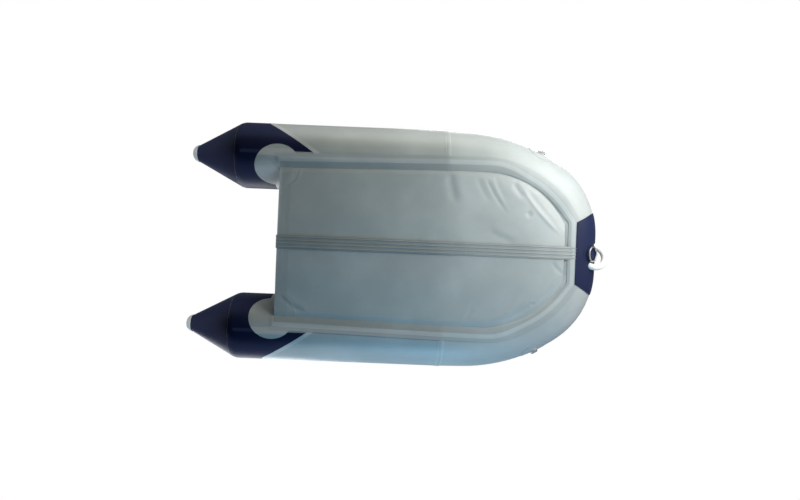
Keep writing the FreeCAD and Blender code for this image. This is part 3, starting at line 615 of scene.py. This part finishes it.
class DINGHY_OT_stern_panels(bpy.types.Operator):
    """Navy fabric round each stern tube, and the round grey patch at the transom's corner"""
    bl_idname = "dinghy.stern_panels"
    bl_label = "Stern panels"

    tip_angle = math.radians(1.5)
    tip_ahead = 0.205
    edge_angle = math.radians(65)
    edge_behind = 0.087
    patch_angle = math.radians(-25.5)
    patch_behind = 0.015
    patch_radius = 0.144

    def execute(self, context):
        for name, side in SIDES.items():
            self.panel(name, side, "outer", self.tip_angle, math.pi, self.outer_edge)
            self.panel(name, side, "inner", -math.pi, self.tip_angle, self.inner_edge)
            self.patch(name, side)
            self.seam(name, side)
        return {"FINISHED"}

    def outer_edge(self, angle):
        """Run of the panel's slanting front edge, straight as seen from below."""
        tip = math.sin(self.tip_angle)
        part = (math.sin(min(angle, self.edge_angle)) - tip) / (math.sin(self.edge_angle) - tip)
        fall = (self.tip_ahead + self.edge_behind) * (0.6 if part < 0 else 1)
        edge = TRANSOM_RUN + self.tip_ahead - fall * part
        edge += 0.032 * unit(part) * (1 - unit(part))
        return edge - 0.09 * smooth(self.edge_angle, math.pi, angle)

    def inner_edge(self, angle):
        top = TRANSOM_RUN - 0.165
        return top + 0.163 * smooth(-math.pi, math.radians(-95), angle)

    def panel(self, name, side, part, first, last, edge):
        start = CONE_HIGH.x - AFT_X + 0.001
        columns = 90
        rows = 40
        grid = []
        for i in range(columns + 1):
            angle = first + (last - first) * i / columns
            end = edge(angle)
            grid.append(tube_row(side, [(start + (end - start) * j / rows, angle)
                                        for j in range(rows + 1)]))
        glued("%s_%s_panel" % (name, part), self.shouldered(grid), 0.0008, 0.0006, "navy")

    def shouldered(self, grid):
        """Follow the rounded end of the tube beside the cone."""
        length = 0.043
        bend = 0.100
        shaped = []
        for row in grid:
            moved = []
            for point, normal in row:
                back = max(0.0, CONE_HIGH.x + length - point.x)
                drop = bend - math.sqrt(max(bend * bend - back * back, 0))
                moved.append((point - normal * drop, normal))
            shaped.append(moved)
        return shaped

    def patch(self, name, side):
        rings = 14
        spokes = 72
        grid = []
        for i in range(rings + 1):
            reach = self.patch_radius * i / rings
            places = []
            for j in range(spokes + 1):
                turn = 2 * math.pi * j / spokes
                angle = self.patch_angle + reach * math.sin(turn) / TUBE_RADIUS
                places.append((TRANSOM_RUN - self.patch_behind
                               + reach * math.cos(turn), angle))
            grid.append(tube_row(side, places))
        glued(name + "_corner_patch", grid, 0.0016, 0.0004, "grey", around=True)

    def seam(self, name, side):
        """The two laps of grey fabric ahead of the navy panel."""
        for number, far in enumerate((0.022, 0.036)):
            grid = []
            for i in range(81):
                angle = math.radians(-24 + 150 * i / 80)
                edge = self.outer_edge(angle)
                grid.append(tube_row(side, [(edge - 0.004 + (far + 0.004) * j / 3, angle)
                                            for j in range(4)]))
            # The laps take the lighter lap fabric, a painted highlight along their edges.
            glued("%s_lap_%d" % (name, number + 1), grid, 0.0006 if number else 0.0011, 0.0004, "lap")


CREASE_AFT = 0.458
CREASE_SEAM = 0.480
CREASE_BOW = 0.487
CREASE_BEND = 0.600
CREASE_TURN = math.radians(52)
CREASE_START = SKIN_LOW.x + 1.268
FABRIC_FRONT = SKIN_HIGH.x - 0.018


def crease_half_width(x):
    """Half width of the bottom fabric where it meets the tubes."""
    if x < SEAM_X:
        return CREASE_AFT + (CREASE_SEAM - CREASE_AFT) * unit((x - SKIN_LOW.x) / (SEAM_X - SKIN_LOW.x))
    if x < CREASE_START:
        return CREASE_SEAM + (CREASE_BOW - CREASE_SEAM) * (x - SEAM_X) / (CREASE_START - SEAM_X)
    ahead = x - CREASE_START
    end = CREASE_BEND * math.sin(CREASE_TURN)
    if ahead < end:
        return CREASE_BOW - CREASE_BEND + math.sqrt(CREASE_BEND ** 2 - ahead ** 2)
    return CREASE_BOW - CREASE_BEND * (1 - math.cos(CREASE_TURN)) - (ahead - end) * math.tan(CREASE_TURN)


def crease_reach(run):
    """How far outboard of the tube's centre line the crease lies, in plan."""
    centre, out, up = path_point(run)
    near = -0.20
    far = 0.10
    for _ in range(24):
        middle = (near + far) / 2
        point = centre + out * middle
        inside = point.x < FABRIC_FRONT and point.y < crease_half_width(point.x)
        near, far = (middle, far) if inside else (near, middle)
    return near


class DINGHY_OT_seam_tapes(bpy.types.Operator):
    """Layers of tape that cover the bottom's glued seam on the tubes"""
    bl_idname = "dinghy.seam_tapes"
    bl_label = "Seam tapes"

    # name: width aft, width at the bow, height, start behind the transom
    tapes = {"cover": (0.088, 0.080, 0.0022, 0.030), "joint": (0.067, 0.042, 0.0029, 0.010),
             "flange": (0.038, 0.016, 0.0036, 0.002)}

    def execute(self, context):
        for title, (wide, narrow, lift, behind) in self.tapes.items():
            start = TRANSOM_RUN - behind
            rows = []
            stations = 150
            for side in (1, -1):
                part = []
                for i in range(stations + 1):
                    run = start + (HALF_RUN - start) * i / stations
                    inner = math.asin(max(-1, min(1, crease_reach(run) / TUBE_RADIUS))) - 0.012
                    width = wide + (narrow - wide) * smooth(SEAM_RUN + 0.3, SEAM_RUN + 0.55, run)
                    part.append(tube_row(side, [(run, inner + (width / TUBE_RADIUS + 0.012) * j / 8)
                                                for j in range(9)]))
                rows += part if side > 0 else part[-2::-1]
            # Each layer's tone is a painted highlight or painted shade for its step, set in the finishes.
            glued("seam_tape_" + title, rows, lift, 0.0005, "tape_" + title)
        self.chamber_bands()
        return {"FINISHED"}

    def chamber_bands(self):
        """Welded band round each tube where the stern and bow chambers meet."""
        for name, side in SIDES.items():
            for number, (half, lift) in enumerate(((0.016, 0.0012), (0.010, 0.0018))):
                rows = []
                for i in range(97):
                    angle = -math.pi + 2 * math.pi * i / 96
                    middle = SEAM_RUN + TUBE_RADIUS * math.cos(angle) * math.tan(RISE / 2)
                    rows.append(tube_row(side, [(middle + half * (j / 3 - 1), angle)
                                                for j in range(7)]))
                # The lower band takes the lighter lap fabric, a painted highlight along the weld.
                glued("%s_chamber_band_%d" % (name, number + 1), rows, lift, 0.0005,
                      "grey" if number else "lap")


class DINGHY_OT_bow_panel(bpy.types.Operator):
    """Navy chafe panel round the front of the bow"""
    bl_idname = "dinghy.bow_panel"
    bl_label = "Bow panel"

    half_width = 0.194
    edge_ahead = 0.058

    def execute(self, context):
        for number, (inset, lift) in enumerate(((0.0, 0.0040), (0.011, 0.0050))):
            columns = 60
            rows = [self.column(2 * i / columns - 1, inset) for i in range(columns + 1)]
            glued("bow_panel_cover" if number else "bow_panel", rows, lift, 0.0006, "navy")
        return {"FINISHED"}

    def column(self, across, inset):
        """Points up one line of the panel, from its straight lower edge to the strake."""
        steps = 26
        row = []
        top = math.radians(100)
        for j in range(steps + 1):
            part = j / steps
            half = self.half_width - inset + 0.022 * math.sin(math.pi * part)
            run = HALF_RUN - abs(across) * half
            side = 1 if across > 0 else -1
            low = self.lower_angle(run, SKIN_HIGH.x + self.edge_ahead + inset * 0.3)
            angle = low + (top - low) * part
            row += tube_row(side, [(run, angle)])
        return row

    def lower_angle(self, run, edge_x):
        low, high = -0.3, math.pi / 2
        for _ in range(24):
            middle = (low + high) / 2
            if on_tube(1, run, middle, TUBE_RADIUS).x < edge_x:
                low = middle
            else:
                high = middle
        return low


class DINGHY_OT_bottom(bpy.types.Operator):
    """Bottom fabric stretched under the floor, with its creases and the transom's wrap"""
    bl_idname = "dinghy.bottom"
    bl_label = "Bottom fabric"

    # each crease: start x, y, end x, y, half width, depth (negative stands out)
    creases = (
        (0.296, -0.466, 0.338, -0.281, 0.026, 0.0042),
        (0.466, -0.450, 0.552, -0.297, 0.018, 0.0020),
        (0.527, -0.437, 0.663, -0.234, 0.010, 0.0020),
        (0.560, -0.452, 0.640, -0.300, 0.012, -0.0012),
        (0.700, -0.420, 0.770, -0.330, 0.018, 0.0040),
        (0.790, -0.245, 0.820, -0.215, 0.016, 0.0030),
        (0.770, -0.372, 1.000, -0.125, 0.012, -0.0040),
        (0.554, -0.116, 0.736, -0.043, 0.020, 0.0024),
        (0.596, 0.439, 0.778, 0.286, 0.014, -0.0040),
        (0.640, 0.448, 0.856, 0.324, 0.016, 0.0036),
        (0.840, 0.336, 0.866, 0.322, 0.010, 0.0030),
        (0.900, 0.300, 0.990, 0.200, 0.012, 0.0024),
        (0.420, 0.445, 0.470, 0.360, 0.012, 0.0020),
        (0.960, 0.060, 1.040, 0.140, 0.012, 0.0024),
        (-0.720, 0.330, -0.640, 0.400, 0.016, 0.0018),
        (-0.650, 0.395, -0.560, 0.425, 0.014, 0.0026),
        (-0.715, -0.335, -0.640, -0.410, 0.014, 0.0014),
    )

    def execute(self, context):
        self.tree = surface_of("bottom_skin")
        long = 330
        wide = 140
        stations = [SKIN_LOW.x + (FABRIC_FRONT - SKIN_LOW.x) * i / long for i in range(long + 1)]
        across = [math.sin(math.pi / 2 * (2 * j / wide - 1)) for j in range(wide + 1)]
        halves = [crease_half_width(x) + 0.003 for x in stations]
        levels = [[self.level(x, half * part, half) for part in across]
                  for x, half in zip(stations, halves)]
        for _ in range(3):
            levels = self.evened(levels, 10)
        rows = []
        for x, half, row in zip(stations, halves, levels):
            rows.append([(Vector((x, half * part, self.dressed(x, half * part, half, z))),
                          Vector((0, 0, -1))) for part, z in zip(across, row)])
        piece = glued("bottom_fabric", rows, 0.0, 0.0025, "bottom")
        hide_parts("bottom_skin")
        self.wrap(rows)
        return {"FINISHED"}

    def level(self, x, y, half):
        """Level of the construction's outer face."""
        y_in = max(-half + 0.016, min(half - 0.016, y))
        hit = upright_ray(self.tree, min(x, SKIN_HIGH.x - 0.006), y_in, 1)[0]
        return hit.z if hit else 0.02

    def evened(self, levels, reach):
        """Moving average along the boat."""
        last = len(levels) - 1
        even = []
        for i in range(last + 1):
            span = min(reach, i, last - i)
            near = levels[i - span:i + span + 1]
            even.append([sum(column) / len(near) for column in zip(*near)])
        return even

    def dressed(self, x, y, half, level):
        """The level pushed out beside the seam, and creased."""
        edge = half - abs(y)
        out = smooth(0.06, 0.22, abs(y)) * (1 - 0.9 * smooth(FABRIC_FRONT - 0.07, FABRIC_FRONT, x))
        push = 0.0065 * smooth(0.0, 0.034, edge) * out - 0.0030 * smooth(0.034, 0.16, edge) * out
        push += 0.0018 * noise.noise(Vector((x * 3.1, y * 3.7, 0.4))) * out * smooth(0, 0.06, edge)
        dent = sum(self.stroke(x, y, *crease) for crease in self.creases)
        dent -= self.patch_ring(x, y)
        return max(level - push + dent * smooth(0, 0.010, edge), 0.0012)

    def patch_ring(self, x, y):
        """The corner patch's rim shows through the fabric."""
        away = math.hypot(x - TRANSOM_LOW.x + 0.015, abs(y) - 0.46) - 0.144
        return 0.0012 * math.exp(-(away / 0.004) ** 2)

    def stroke(self, x, y, x0, y0, x1, y1, width, depth):
        """A crease with a raised lip beside it, fading at its ends."""
        along_x, along_y = x1 - x0, y1 - y0
        length = math.hypot(along_x, along_y)
        part = ((x - x0) * along_x + (y - y0) * along_y) / length ** 2
        if part < -0.1 or part > 1.1:
            return 0.0
        off = ((x - x0) * along_y - (y - y0) * along_x) / length + 0.14 * length * part * (1 - part)
        fade = smooth(-0.1, 0.25, part) * (1 - smooth(0.7, 1.1, part))
        dip = math.exp(-(off / width) ** 2)
        lip = math.exp(-((off - 2.1 * width) / (1.3 * width)) ** 2)
        return depth * fade * (dip - 0.5 * lip)

    def wrap(self, rows):
        """Bands of fabric glued under the transom's edge."""
        step = rows[1][0][0].x - rows[0][0][0].x
        for number, (depth, lift) in enumerate(((0.078, 0.0008), (0.037, 0.0016))):
            band = rows[:max(2, round(depth / step)) + 1]
            glued("transom_wrap_%d" % (number + 1), band, lift, 0.001, "tape")


class DINGHY_OT_gussets(bpy.types.Operator):
    """Curved fabric fillets between the transom's faces and the tubes"""
    bl_idname = "dinghy.gussets"
    bl_label = "Gussets"

    def execute(self, context):
        for name, side in SIDES.items():
            self.fillet(name + "_aft_gusset", side, TRANSOM_LOW.x, -1, math.radians(-30))
            self.fillet(name + "_fore_gusset", side, TRANSOM_HIGH.x, 1, math.radians(-66))
        return {"FINISHED"}

    def fillet(self, title, side, face_x, way, first):
        last = math.radians(-146)
        tube_leg = 0.046
        board_leg = 0.036
        rows = []
        for i in range(41):
            angle = first + (last - first) * i / 40
            run = face_x - AFT_X
            corner, normal = tube_row(side, [(run, angle)])[0]
            fade = 0.25 + 0.75 * smooth(0, 0.25, i / 40) * (1 - smooth(0.85, 1, i / 40))
            row = []
            for j in range(13):
                t = j / 12
                along = Vector((way * tube_leg * fade * (1 - t) ** 2, 0, 0))
                point = corner + along + normal * board_leg * fade * t * t
                tilt = (Vector((way, 0, 0)) * t + normal * (1 - t)).normalized()
                row.append((point, tilt))
            rows.append(row)
        glued(title, rows, 0.0014, 0.0008, "grey")


class DINGHY_OT_keel(bpy.types.Operator):
    """Ribbed rubber strip along the keel"""
    bl_idname = "dinghy.keel"
    bl_label = "Keel strip"

    def execute(self, context):
        tree = surface_of("keel_strip")
        count = 150
        beside = 0.0105
        points = []
        for i in range(count + 1):
            x = KEEL_LOW.x + 0.003 + (KEEL_HIGH.x - KEEL_LOW.x - 0.008) * i / count
            hit = upright_ray(tree, x, beside, 1)[0]
            if hit:
                points.append(Vector((x, 0, hit.z + 0.0025)))
        levels = [point.z for point in points]
        for i in range(2, len(points) - 2):
            points[i].z = max(sum(levels[i - 2:i + 3]) / 5, 0.0030)
        line = bpy.data.meshes.new("keel line")
        line.from_pydata(points, [(i, i + 1) for i in range(len(points) - 1)], [])
        piece = grown("keel_rubber", line, strip_tree("Keel strip"),
                      {"Rib pitch": 0.021, "Rib width": 0.0095, "Rib height": 0.0066,
                       "Band width": 0.082, "Band thickness": 0.0022, "Ribs": 4.0},
                      MATERIALS["keel"])
        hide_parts("keel_strip")
        return {"FINISHED"}


class DINGHY_OT_bow_fittings(bpy.types.Operator):
    """Round patches and bosses under the towing ring and the side rings"""
    bl_idname = "dinghy.bow_fittings"
    bl_label = "Bow fittings"

    def execute(self, context):
        self.tow_base()
        for name, side in SIDES.items():
            self.side_base(name, side)
        return {"FINISHED"}

    def disc_rows(self, place, radius):
        """Rows of a round patch; place gives (side, run, angle) for offsets along and round."""
        rows = []
        for i in range(13):
            row = []
            for j in range(61):
                turn = 2 * math.pi * j / 60
                side, run, angle = place(radius * i / 12 * math.cos(turn), radius * i / 12 * math.sin(turn))
                row += tube_row(side, [(run, angle)])
            rows.append(row)
        return rows

    def boss(self, build, point, normal, radius, height):
        edge = 0.003
        profile = [(radius, -0.012), (radius, height - edge), (radius - 0.3 * edge, height - 0.3 * edge),
                   (radius - edge, height), (radius * 0.45, height), (radius * 0.40, height - 0.003),
                   (0.0004, height - 0.003)]
        lathe(build, point, normal, profile, 56)

    def tow_base(self):
        lean = math.radians(45) - RISE

        def place(along, round_it):
            return (1 if along > 0 else -1), HALF_RUN - abs(along), lean + round_it / TUBE_RADIUS

        build = bmesh.new()
        add_slab(build, self.disc_rows(place, 0.072), 0.0062, 0.0004, around=True)
        point, normal = tube_row(1, [(HALF_RUN, lean)])[0]
        self.boss(build, point, normal, 0.056, 0.012)
        piece = new_piece("tow_base", to_mesh("tow_base", build), MATERIALS["navy"])
        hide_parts("tow_patch")

    def side_base(self, name, side):
        low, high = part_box("port_side_ring")
        run, angle = find_on_tube((low + high) / 2)
        build = bmesh.new()
        add_slab(build, self.disc_rows(
            lambda along, round_it: (side, run + along, angle + round_it / TUBE_RADIUS), 0.074),
            0.0016, 0.0004, around=True)
        point, normal = tube_row(side, [(run, angle)])[0]
        self.boss(build, point, normal, 0.027, 0.009)
        title = name + "_ring_base"
        piece = new_piece(title, to_mesh(title, build), MATERIALS["grey"])
        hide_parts(name + "_side_patch")


class DINGHY_OT_deck_fittings(bpy.types.Operator):
    """Grab handles on the tubes, knurled valve caps, the air floor's tread and screw heads on the motor
    pads
    """
    bl_idname = "dinghy.deck_fittings"
    bl_label = "Deck fittings"

    def execute(self, context):
        for name, side in SIDES.items():
            self.handle(name, side)
        self.valves()
        self.tread()
        self.screws()
        return {"FINISHED"}

    base_half_length = 0.095
    base_half_width = 0.035
    arch_half_length = 0.074
    arch_height = 0.033

    def handle(self, name, side):
        low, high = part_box("port_lift_handle")
        run, angle = find_on_tube((low + high) / 2)
        build = bmesh.new()
        rows = []
        for i in range(29):
            along = self.base_half_length * (i / 14 - 1)
            wide = self.base_half_width
            past = max(abs(along) - (self.base_half_length - wide), 0) / wide
            wide *= math.sqrt(max(1 - past ** 2, 0.0004))
            rows.append(tube_row(side, [(run + along, angle + wide * (j / 5 - 1) / TUBE_RADIUS)
                                        for j in range(11)]))
        add_slab(build, rows, 0.0030, 0.0005)
        point, normal = tube_row(side, [(run, angle)])[0]
        arch = []
        for i in range(33):
            part = i / 16 - 1
            rise = self.arch_height * (1 - (0.987 * abs(part)) ** 5) - 0.001
            arch.append(point + Vector((self.arch_half_length * part, 0, 0)) + normal * rise)
        sweep(build, arch, normal, 0.024, 0.011, 18, lambda t: 1 + 0.35 * abs(2 * t - 1) ** 6)
        title = name + "_grab_handle"
        piece = new_piece(title, to_mesh(title, build), MATERIALS["rubber"])
        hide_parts(name + "_lift_handle")

    def valves(self):
        """Knurled caps: studs round each cap's rim."""
        tree = stud_tree("Cap knurls", 6)
        for node in ("port_air_valve", "starboard_air_valve", "bow_air_valve", "floor_air_valve"):
            normal, point = self.facing(node)
            across = normal.orthogonal().normalized()
            other = normal.cross(across)
            places = []
            for i in range(28):
                turn = 2 * math.pi * i / 28
                way = across * math.cos(turn) + other * math.sin(turn)
                places.append((point + way * 0.0228, normal))
            title = node + "_knurls"
            grown(title, layout_points(title, places), tree, {"Radius": 0.0017, "Height": 0.009},
                  MATERIALS["plastic"])

    def facing(self, node):
        """Outward direction of a valve's flat cap, and the middle of the cap's rim."""
        mesh = NODES[node].data
        total = {}
        for polygon in mesh.polygons:
            key = tuple(round(c, 2) for c in polygon.normal)
            total[key] = total.get(key, 0) + polygon.area
        upward = {key: area for key, area in total.items() if key[2] > 0}
        normal = Vector(max(upward, key=upward.get)).normalized()
        top = max((normal.dot(vertex.co), vertex.index) for vertex in mesh.vertices)[0]
        rim = [vertex.co for vertex in mesh.vertices if normal.dot(vertex.co) > top - 0.0005]
        middle = sum(rim, Vector()) / len(rim)
        return normal, middle - normal * 0.0052

    def tread(self):
        """Raised diamonds on the air floor's upper face."""
        surface = surface_of("air_floor")
        low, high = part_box("air_floor")
        places = []
        pitch = 0.046
        for i in range(int((high.x - low.x - 0.20) / pitch)):
            for j in range(-6, 7):
                x = low.x + 0.10 + i * pitch
                y = (j + 0.5 * (i % 2)) * pitch
                if (x - high.x + 0.34) > 0 and abs(y) > 0.16:
                    continue
                hit, normal = upright_ray(surface, x, y, -1)
                if hit and normal.z > 0.9 and abs(y) < 0.29:
                    places.append((hit, normal))
        grown("floor_tread", layout_points("floor_tread", places), stud_tree("Floor diamonds", 4),
              {"Radius": 0.010, "Height": 0.0024, "Stretch": 1.7}, MATERIALS["tread"])

    def screws(self):
        """Screw heads on both motor pads."""
        for node, way in (("outer_motor_pad", -1), ("inner_motor_pad", 1)):
            low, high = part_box(node)
            face = low.x if way < 0 else high.x
            middle = (low + high) / 2
            half = (high - low) / 2
            places = []
            for y in (-1, 0, 1):
                for z in (-1, 1):
                    places.append((Vector((face, middle.y + y * (half.y - 0.02),
                                           middle.z + z * (half.z - 0.02))), (way, 0, 0)))
            title = node + "_screws"
            grown(title, layout_points(title, places), stud_tree("Screw heads", 16),
                  {"Radius": 0.0045, "Height": 0.0024}, MATERIALS["steel"])


class DINGHY_OT_oars(bpy.types.Operator):
    """Moulded blades and ridged grips on the oars"""
    bl_idname = "dinghy.oars"
    bl_label = "Oars"

    neck_half = 0.017
    swell_half = 0.058
    blade_skin = 0.0028
    spine_height = 0.0125
    spine_width = 0.014
    socket_radius = 0.0155
    grip_ridges = 13
    grip_core = 0.0150
    grip_ridge = 0.0174
    grip_end = 0.0180
    lean = math.radians(20)

    def execute(self, context):
        for name, side in SIDES.items():
            low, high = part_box(name + "_oar_shaft")
            self.centre = (low + high) / 2
            lean = self.lean
            self.up = Vector((0, side * math.sin(lean), math.cos(lean)))
            self.across = Vector((0, self.up.z, -self.up.y))
            self.blade(name)
            self.grip(name)
        return {"FINISHED"}

    def blade(self, name):
        low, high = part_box(name + "_oar_blade")
        length = high.x - low.x
        build = bmesh.new()
        loops = []
        steps = 56
        for i in range(steps + 1):
            t = i / steps
            swell = smooth(0.02, 0.42, t)
            end = math.sqrt(max(1 - max((t - 0.86) / 0.14, 0) ** 2, 0.0025))
            half = (self.neck_half + self.swell_half * swell) * end
            spine = self.spine_height * (1 - smooth(0.12, 0.85, t))
            loop = []
            for j in range(48):
                turn = 2 * math.pi * j / 48
                off = half * math.cos(turn)
                thick = self.blade_skin * min(1, end * 1.5)
                thick += spine * math.exp(-(off / self.spine_width) ** 2)
                if t < 0.08:
                    thick += (self.socket_radius - thick) * (1 - t / 0.08) * abs(math.sin(turn))
                level = thick * math.copysign(abs(math.sin(turn)) ** 0.5, math.sin(turn))
                spoon = -0.006 * math.sin(math.pi * t) * (off / 0.075) ** 2
                loop.append(Vector((high.x - length * t, self.centre.y, self.centre.z))
                            + self.across * off + self.up * (level + spoon))
            loops.append(loop)
        add_loops(build, loops)
        title = name + "_blade_moulding"
        piece = new_piece(title, to_mesh(title, build), MATERIALS["blade"], name + "_oar")
        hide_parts(name + "_oar_blade")

    def grip(self, name):
        low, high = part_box(name + "_oar_grip")
        length = high.x - low.x
        profile = [(0.0155, 0.0)]
        pitch = (length - 0.030) / self.grip_ridges
        core, ridge, end = self.grip_core, self.grip_ridge, self.grip_end
        for i in range(self.grip_ridges):
            for part, radius in ((0.05, core), (0.2, ridge), (0.6, ridge), (0.8, core)):
                profile.append((radius, 0.010 + pitch * (i + part)))
        profile += [(end, length - 0.018), (end, length - 0.006),
                    (0.0145, length - 0.001), (0.001, length)]
        build = bmesh.new()
        lathe(build, Vector((low.x, self.centre.y, self.centre.z)), Vector((1, 0, 0)), profile, 36)
        title = name + "_grip_sleeve"
        piece = new_piece(title, to_mesh(title, build), MATERIALS["rubber"], name + "_oar")
        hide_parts(name + "_oar_grip")


class DINGHY_OT_boards(bpy.types.Operator):
    """Rounded edges on the transom, bench, pads and rests"""
    bl_idname = "dinghy.boards"
    bl_label = "Boards"

    def execute(self, context):
        softened("transom_board", "transom", MATERIALS["transom"], 0.004)
        softened("bench_board", "bench_seat", MATERIALS["bench"], 0.005)
        for node in ("outer_motor_pad", "inner_motor_pad"):
            softened(node + "_moulding", node, MATERIALS["plastic"], 0.002)
        for name in SIDES:
            softened(name + "_cleat_block", name + "_seat_cleat", MATERIALS["grey"], 0.004)
            softened(name + "_rest_moulding", name + "_oar_rest", MATERIALS["rubber"], 0.003)
        return {"FINISHED"}


class DINGHY_OT_stage(bpy.types.Operator):
    """Make the floor, lights, world and camera"""
    bl_idname = "dinghy.stage"
    bl_label = "Stage"

    def execute(self, context):
        self.floor()
        self.world(context)
        self.lamps()
        self.camera(context)
        context.scene.view_settings.view_transform = "Standard"
        return {"FINISHED"}

    def floor(self):
        """A floor that shows only from above, so the camera under it sees the boat."""
        mesh = bpy.data.meshes.new("floor")
        reach = 14
        corners = [(-reach, -reach, 0), (reach, -reach, 0), (reach, reach, 0), (-reach, reach, 0)]
        mesh.from_pydata(corners, [], [(0, 1, 2, 3)])
        floor = bpy.data.objects.new("floor", mesh)
        floor.location.z = -0.0005
        bpy.context.collection.objects.link(floor)
        f = Finish("pale floor")
        f.surface((0.86, 0.86, 0.86), 0.7)
        clear = f.tree.nodes.new("ShaderNodeBsdfTransparent")
        mixer = f.tree.nodes.new("ShaderNodeMixShader")
        under = f.add("ShaderNodeNewGeometry", {}, output="Backfacing")
        shadow = f.add("ShaderNodeLightPath", {}, output="Is Shadow Ray")
        x, y, z = f.parts()
        away = (x * x + y * y).step(6.0, 40.0)
        f.feed(mixer.inputs[0], under.at_least(shadow).at_least(away))
        f.tree.links.new(f.shader.outputs[0], mixer.inputs[1])
        f.tree.links.new(clear.outputs[0], mixer.inputs[2])
        f.tree.links.new(mixer.outputs[0], f.tree.nodes["Material Output"].inputs[0])
        mesh.materials.append(f.material)

    def world(self, context):
        world = bpy.data.worlds.new("studio")
        context.scene.world = world
        world.use_nodes = True
        tree = world.node_tree
        tree.nodes.clear()

        def node(kind, *inputs, **settings):
            made = tree.nodes.new(kind)
            for name, value in settings.items():
                setattr(made, name, value)
            for socket, value in zip(made.inputs, inputs):
                if hasattr(value, "is_output"):
                    tree.links.new(value, socket)
                else:
                    socket.default_value = value
            return made.outputs

        path = node("ShaderNodeLightPath")
        seen = node("ShaderNodeMath", path["Is Camera Ray"], path["Is Transmission Ray"],
                    operation="MAXIMUM")
        dim = node("ShaderNodeBackground", (0.93, 0.97, 1, 1), 0.21)
        white = node("ShaderNodeBackground", (1, 1, 1, 1))
        node("ShaderNodeOutputWorld", node("ShaderNodeMixShader", seen[0], dim[0], white[0])[0])

    # each lamp: place, aim, size, power, colour; those below the floor light the underside
    lamp_table = {
        "key above": ((1.5, -2.5, 4.2), (0, 0, 0.2), 2.5, 190, (1, 0.98, 0.95)),
        "fill above": ((-2.5, 3.0, 3.2), (0, 0, 0.2), 3.0, 120, (0.92, 0.96, 1)),
        "bow below": ((2.1, -1.0, -0.9), (0.9, -0.1, 0.2), 1.3, 47, (1, 1, 0.97)),
        "warm below": ((0.2, -2.6, -1.0), (0.0, -0.3, 0.1), 1.2, 12, (1, 0.98, 0.80)),
        "cool below": ((0.5, 2.4, -0.9), (0.2, 0.3, 0.1), 1.2, 27, (0.27, 0.66, 1)),
    }

    def lamps(self):
        for name, (place, aim, size, power, colour) in self.lamp_table.items():
            light = bpy.data.lights.new(name, "AREA")
            light.size = size
            light.energy = power
            light.color = colour
            lamp = bpy.data.objects.new(name, light)
            lamp.location = place
            lamp.rotation_euler = (Vector(aim) - Vector(place)).to_track_quat("-Z", "Y").to_euler()
            bpy.context.collection.objects.link(lamp)

    lens = 26.4
    roll = math.radians(2.3)
    camera_place = (0.009, 0.023)

    def camera(self, context):
        """Straight up at the underside, bow to the right, a little rolled."""
        data = bpy.data.cameras.new("camera")
        data.lens = self.lens
        data.clip_end = 60
        camera = bpy.data.objects.new("camera", data)
        right = Vector((math.cos(self.roll), -math.sin(self.roll), 0))
        back = Vector((0, 0, -1))
        up = back.cross(right)
        turn = Matrix((right, up, back)).transposed()
        place = (*self.camera_place, -settings().camera_depth)
        camera.matrix_world = Matrix.Translation(place) @ turn.to_4x4()
        context.collection.objects.link(camera)
        context.scene.camera = camera


class DINGHY_PT_sidebar(bpy.types.Panel):
    """Lists the steps that dress the dinghy"""
    bl_idname = "DINGHY_PT_sidebar"
    bl_label = "Dinghy"
    bl_space_type = "VIEW_3D"
    bl_region_type = "UI"
    bl_category = "Dinghy"

    def draw(self, context):
        for name in DinghySettings.__annotations__:
            self.layout.prop(context.scene.dinghy, name)
        for step in STEPS:
            self.layout.operator(step.bl_idname)


STEPS = (DINGHY_OT_stage, DINGHY_OT_finishes, DINGHY_OT_stern_panels, DINGHY_OT_seam_tapes,
         DINGHY_OT_bow_panel, DINGHY_OT_bottom, DINGHY_OT_gussets, DINGHY_OT_keel,
         DINGHY_OT_bow_fittings, DINGHY_OT_deck_fittings, DINGHY_OT_oars, DINGHY_OT_boards)
CLASSES = (DinghySettings, *STEPS, DINGHY_PT_sidebar)


def register():
    for item in CLASSES:
        bpy.utils.register_class(item)
    bpy.types.Scene.dinghy = PointerProperty(type=DinghySettings)


def unregister():
    del bpy.types.Scene.dinghy
    for item in reversed(CLASSES):
        bpy.utils.unregister_class(item)


def main():
    register()
    for step in STEPS:
        group, name = step.bl_idname.split(".")
        getattr(getattr(bpy.ops, group), name)()


if __name__ == "__main__":
    main()
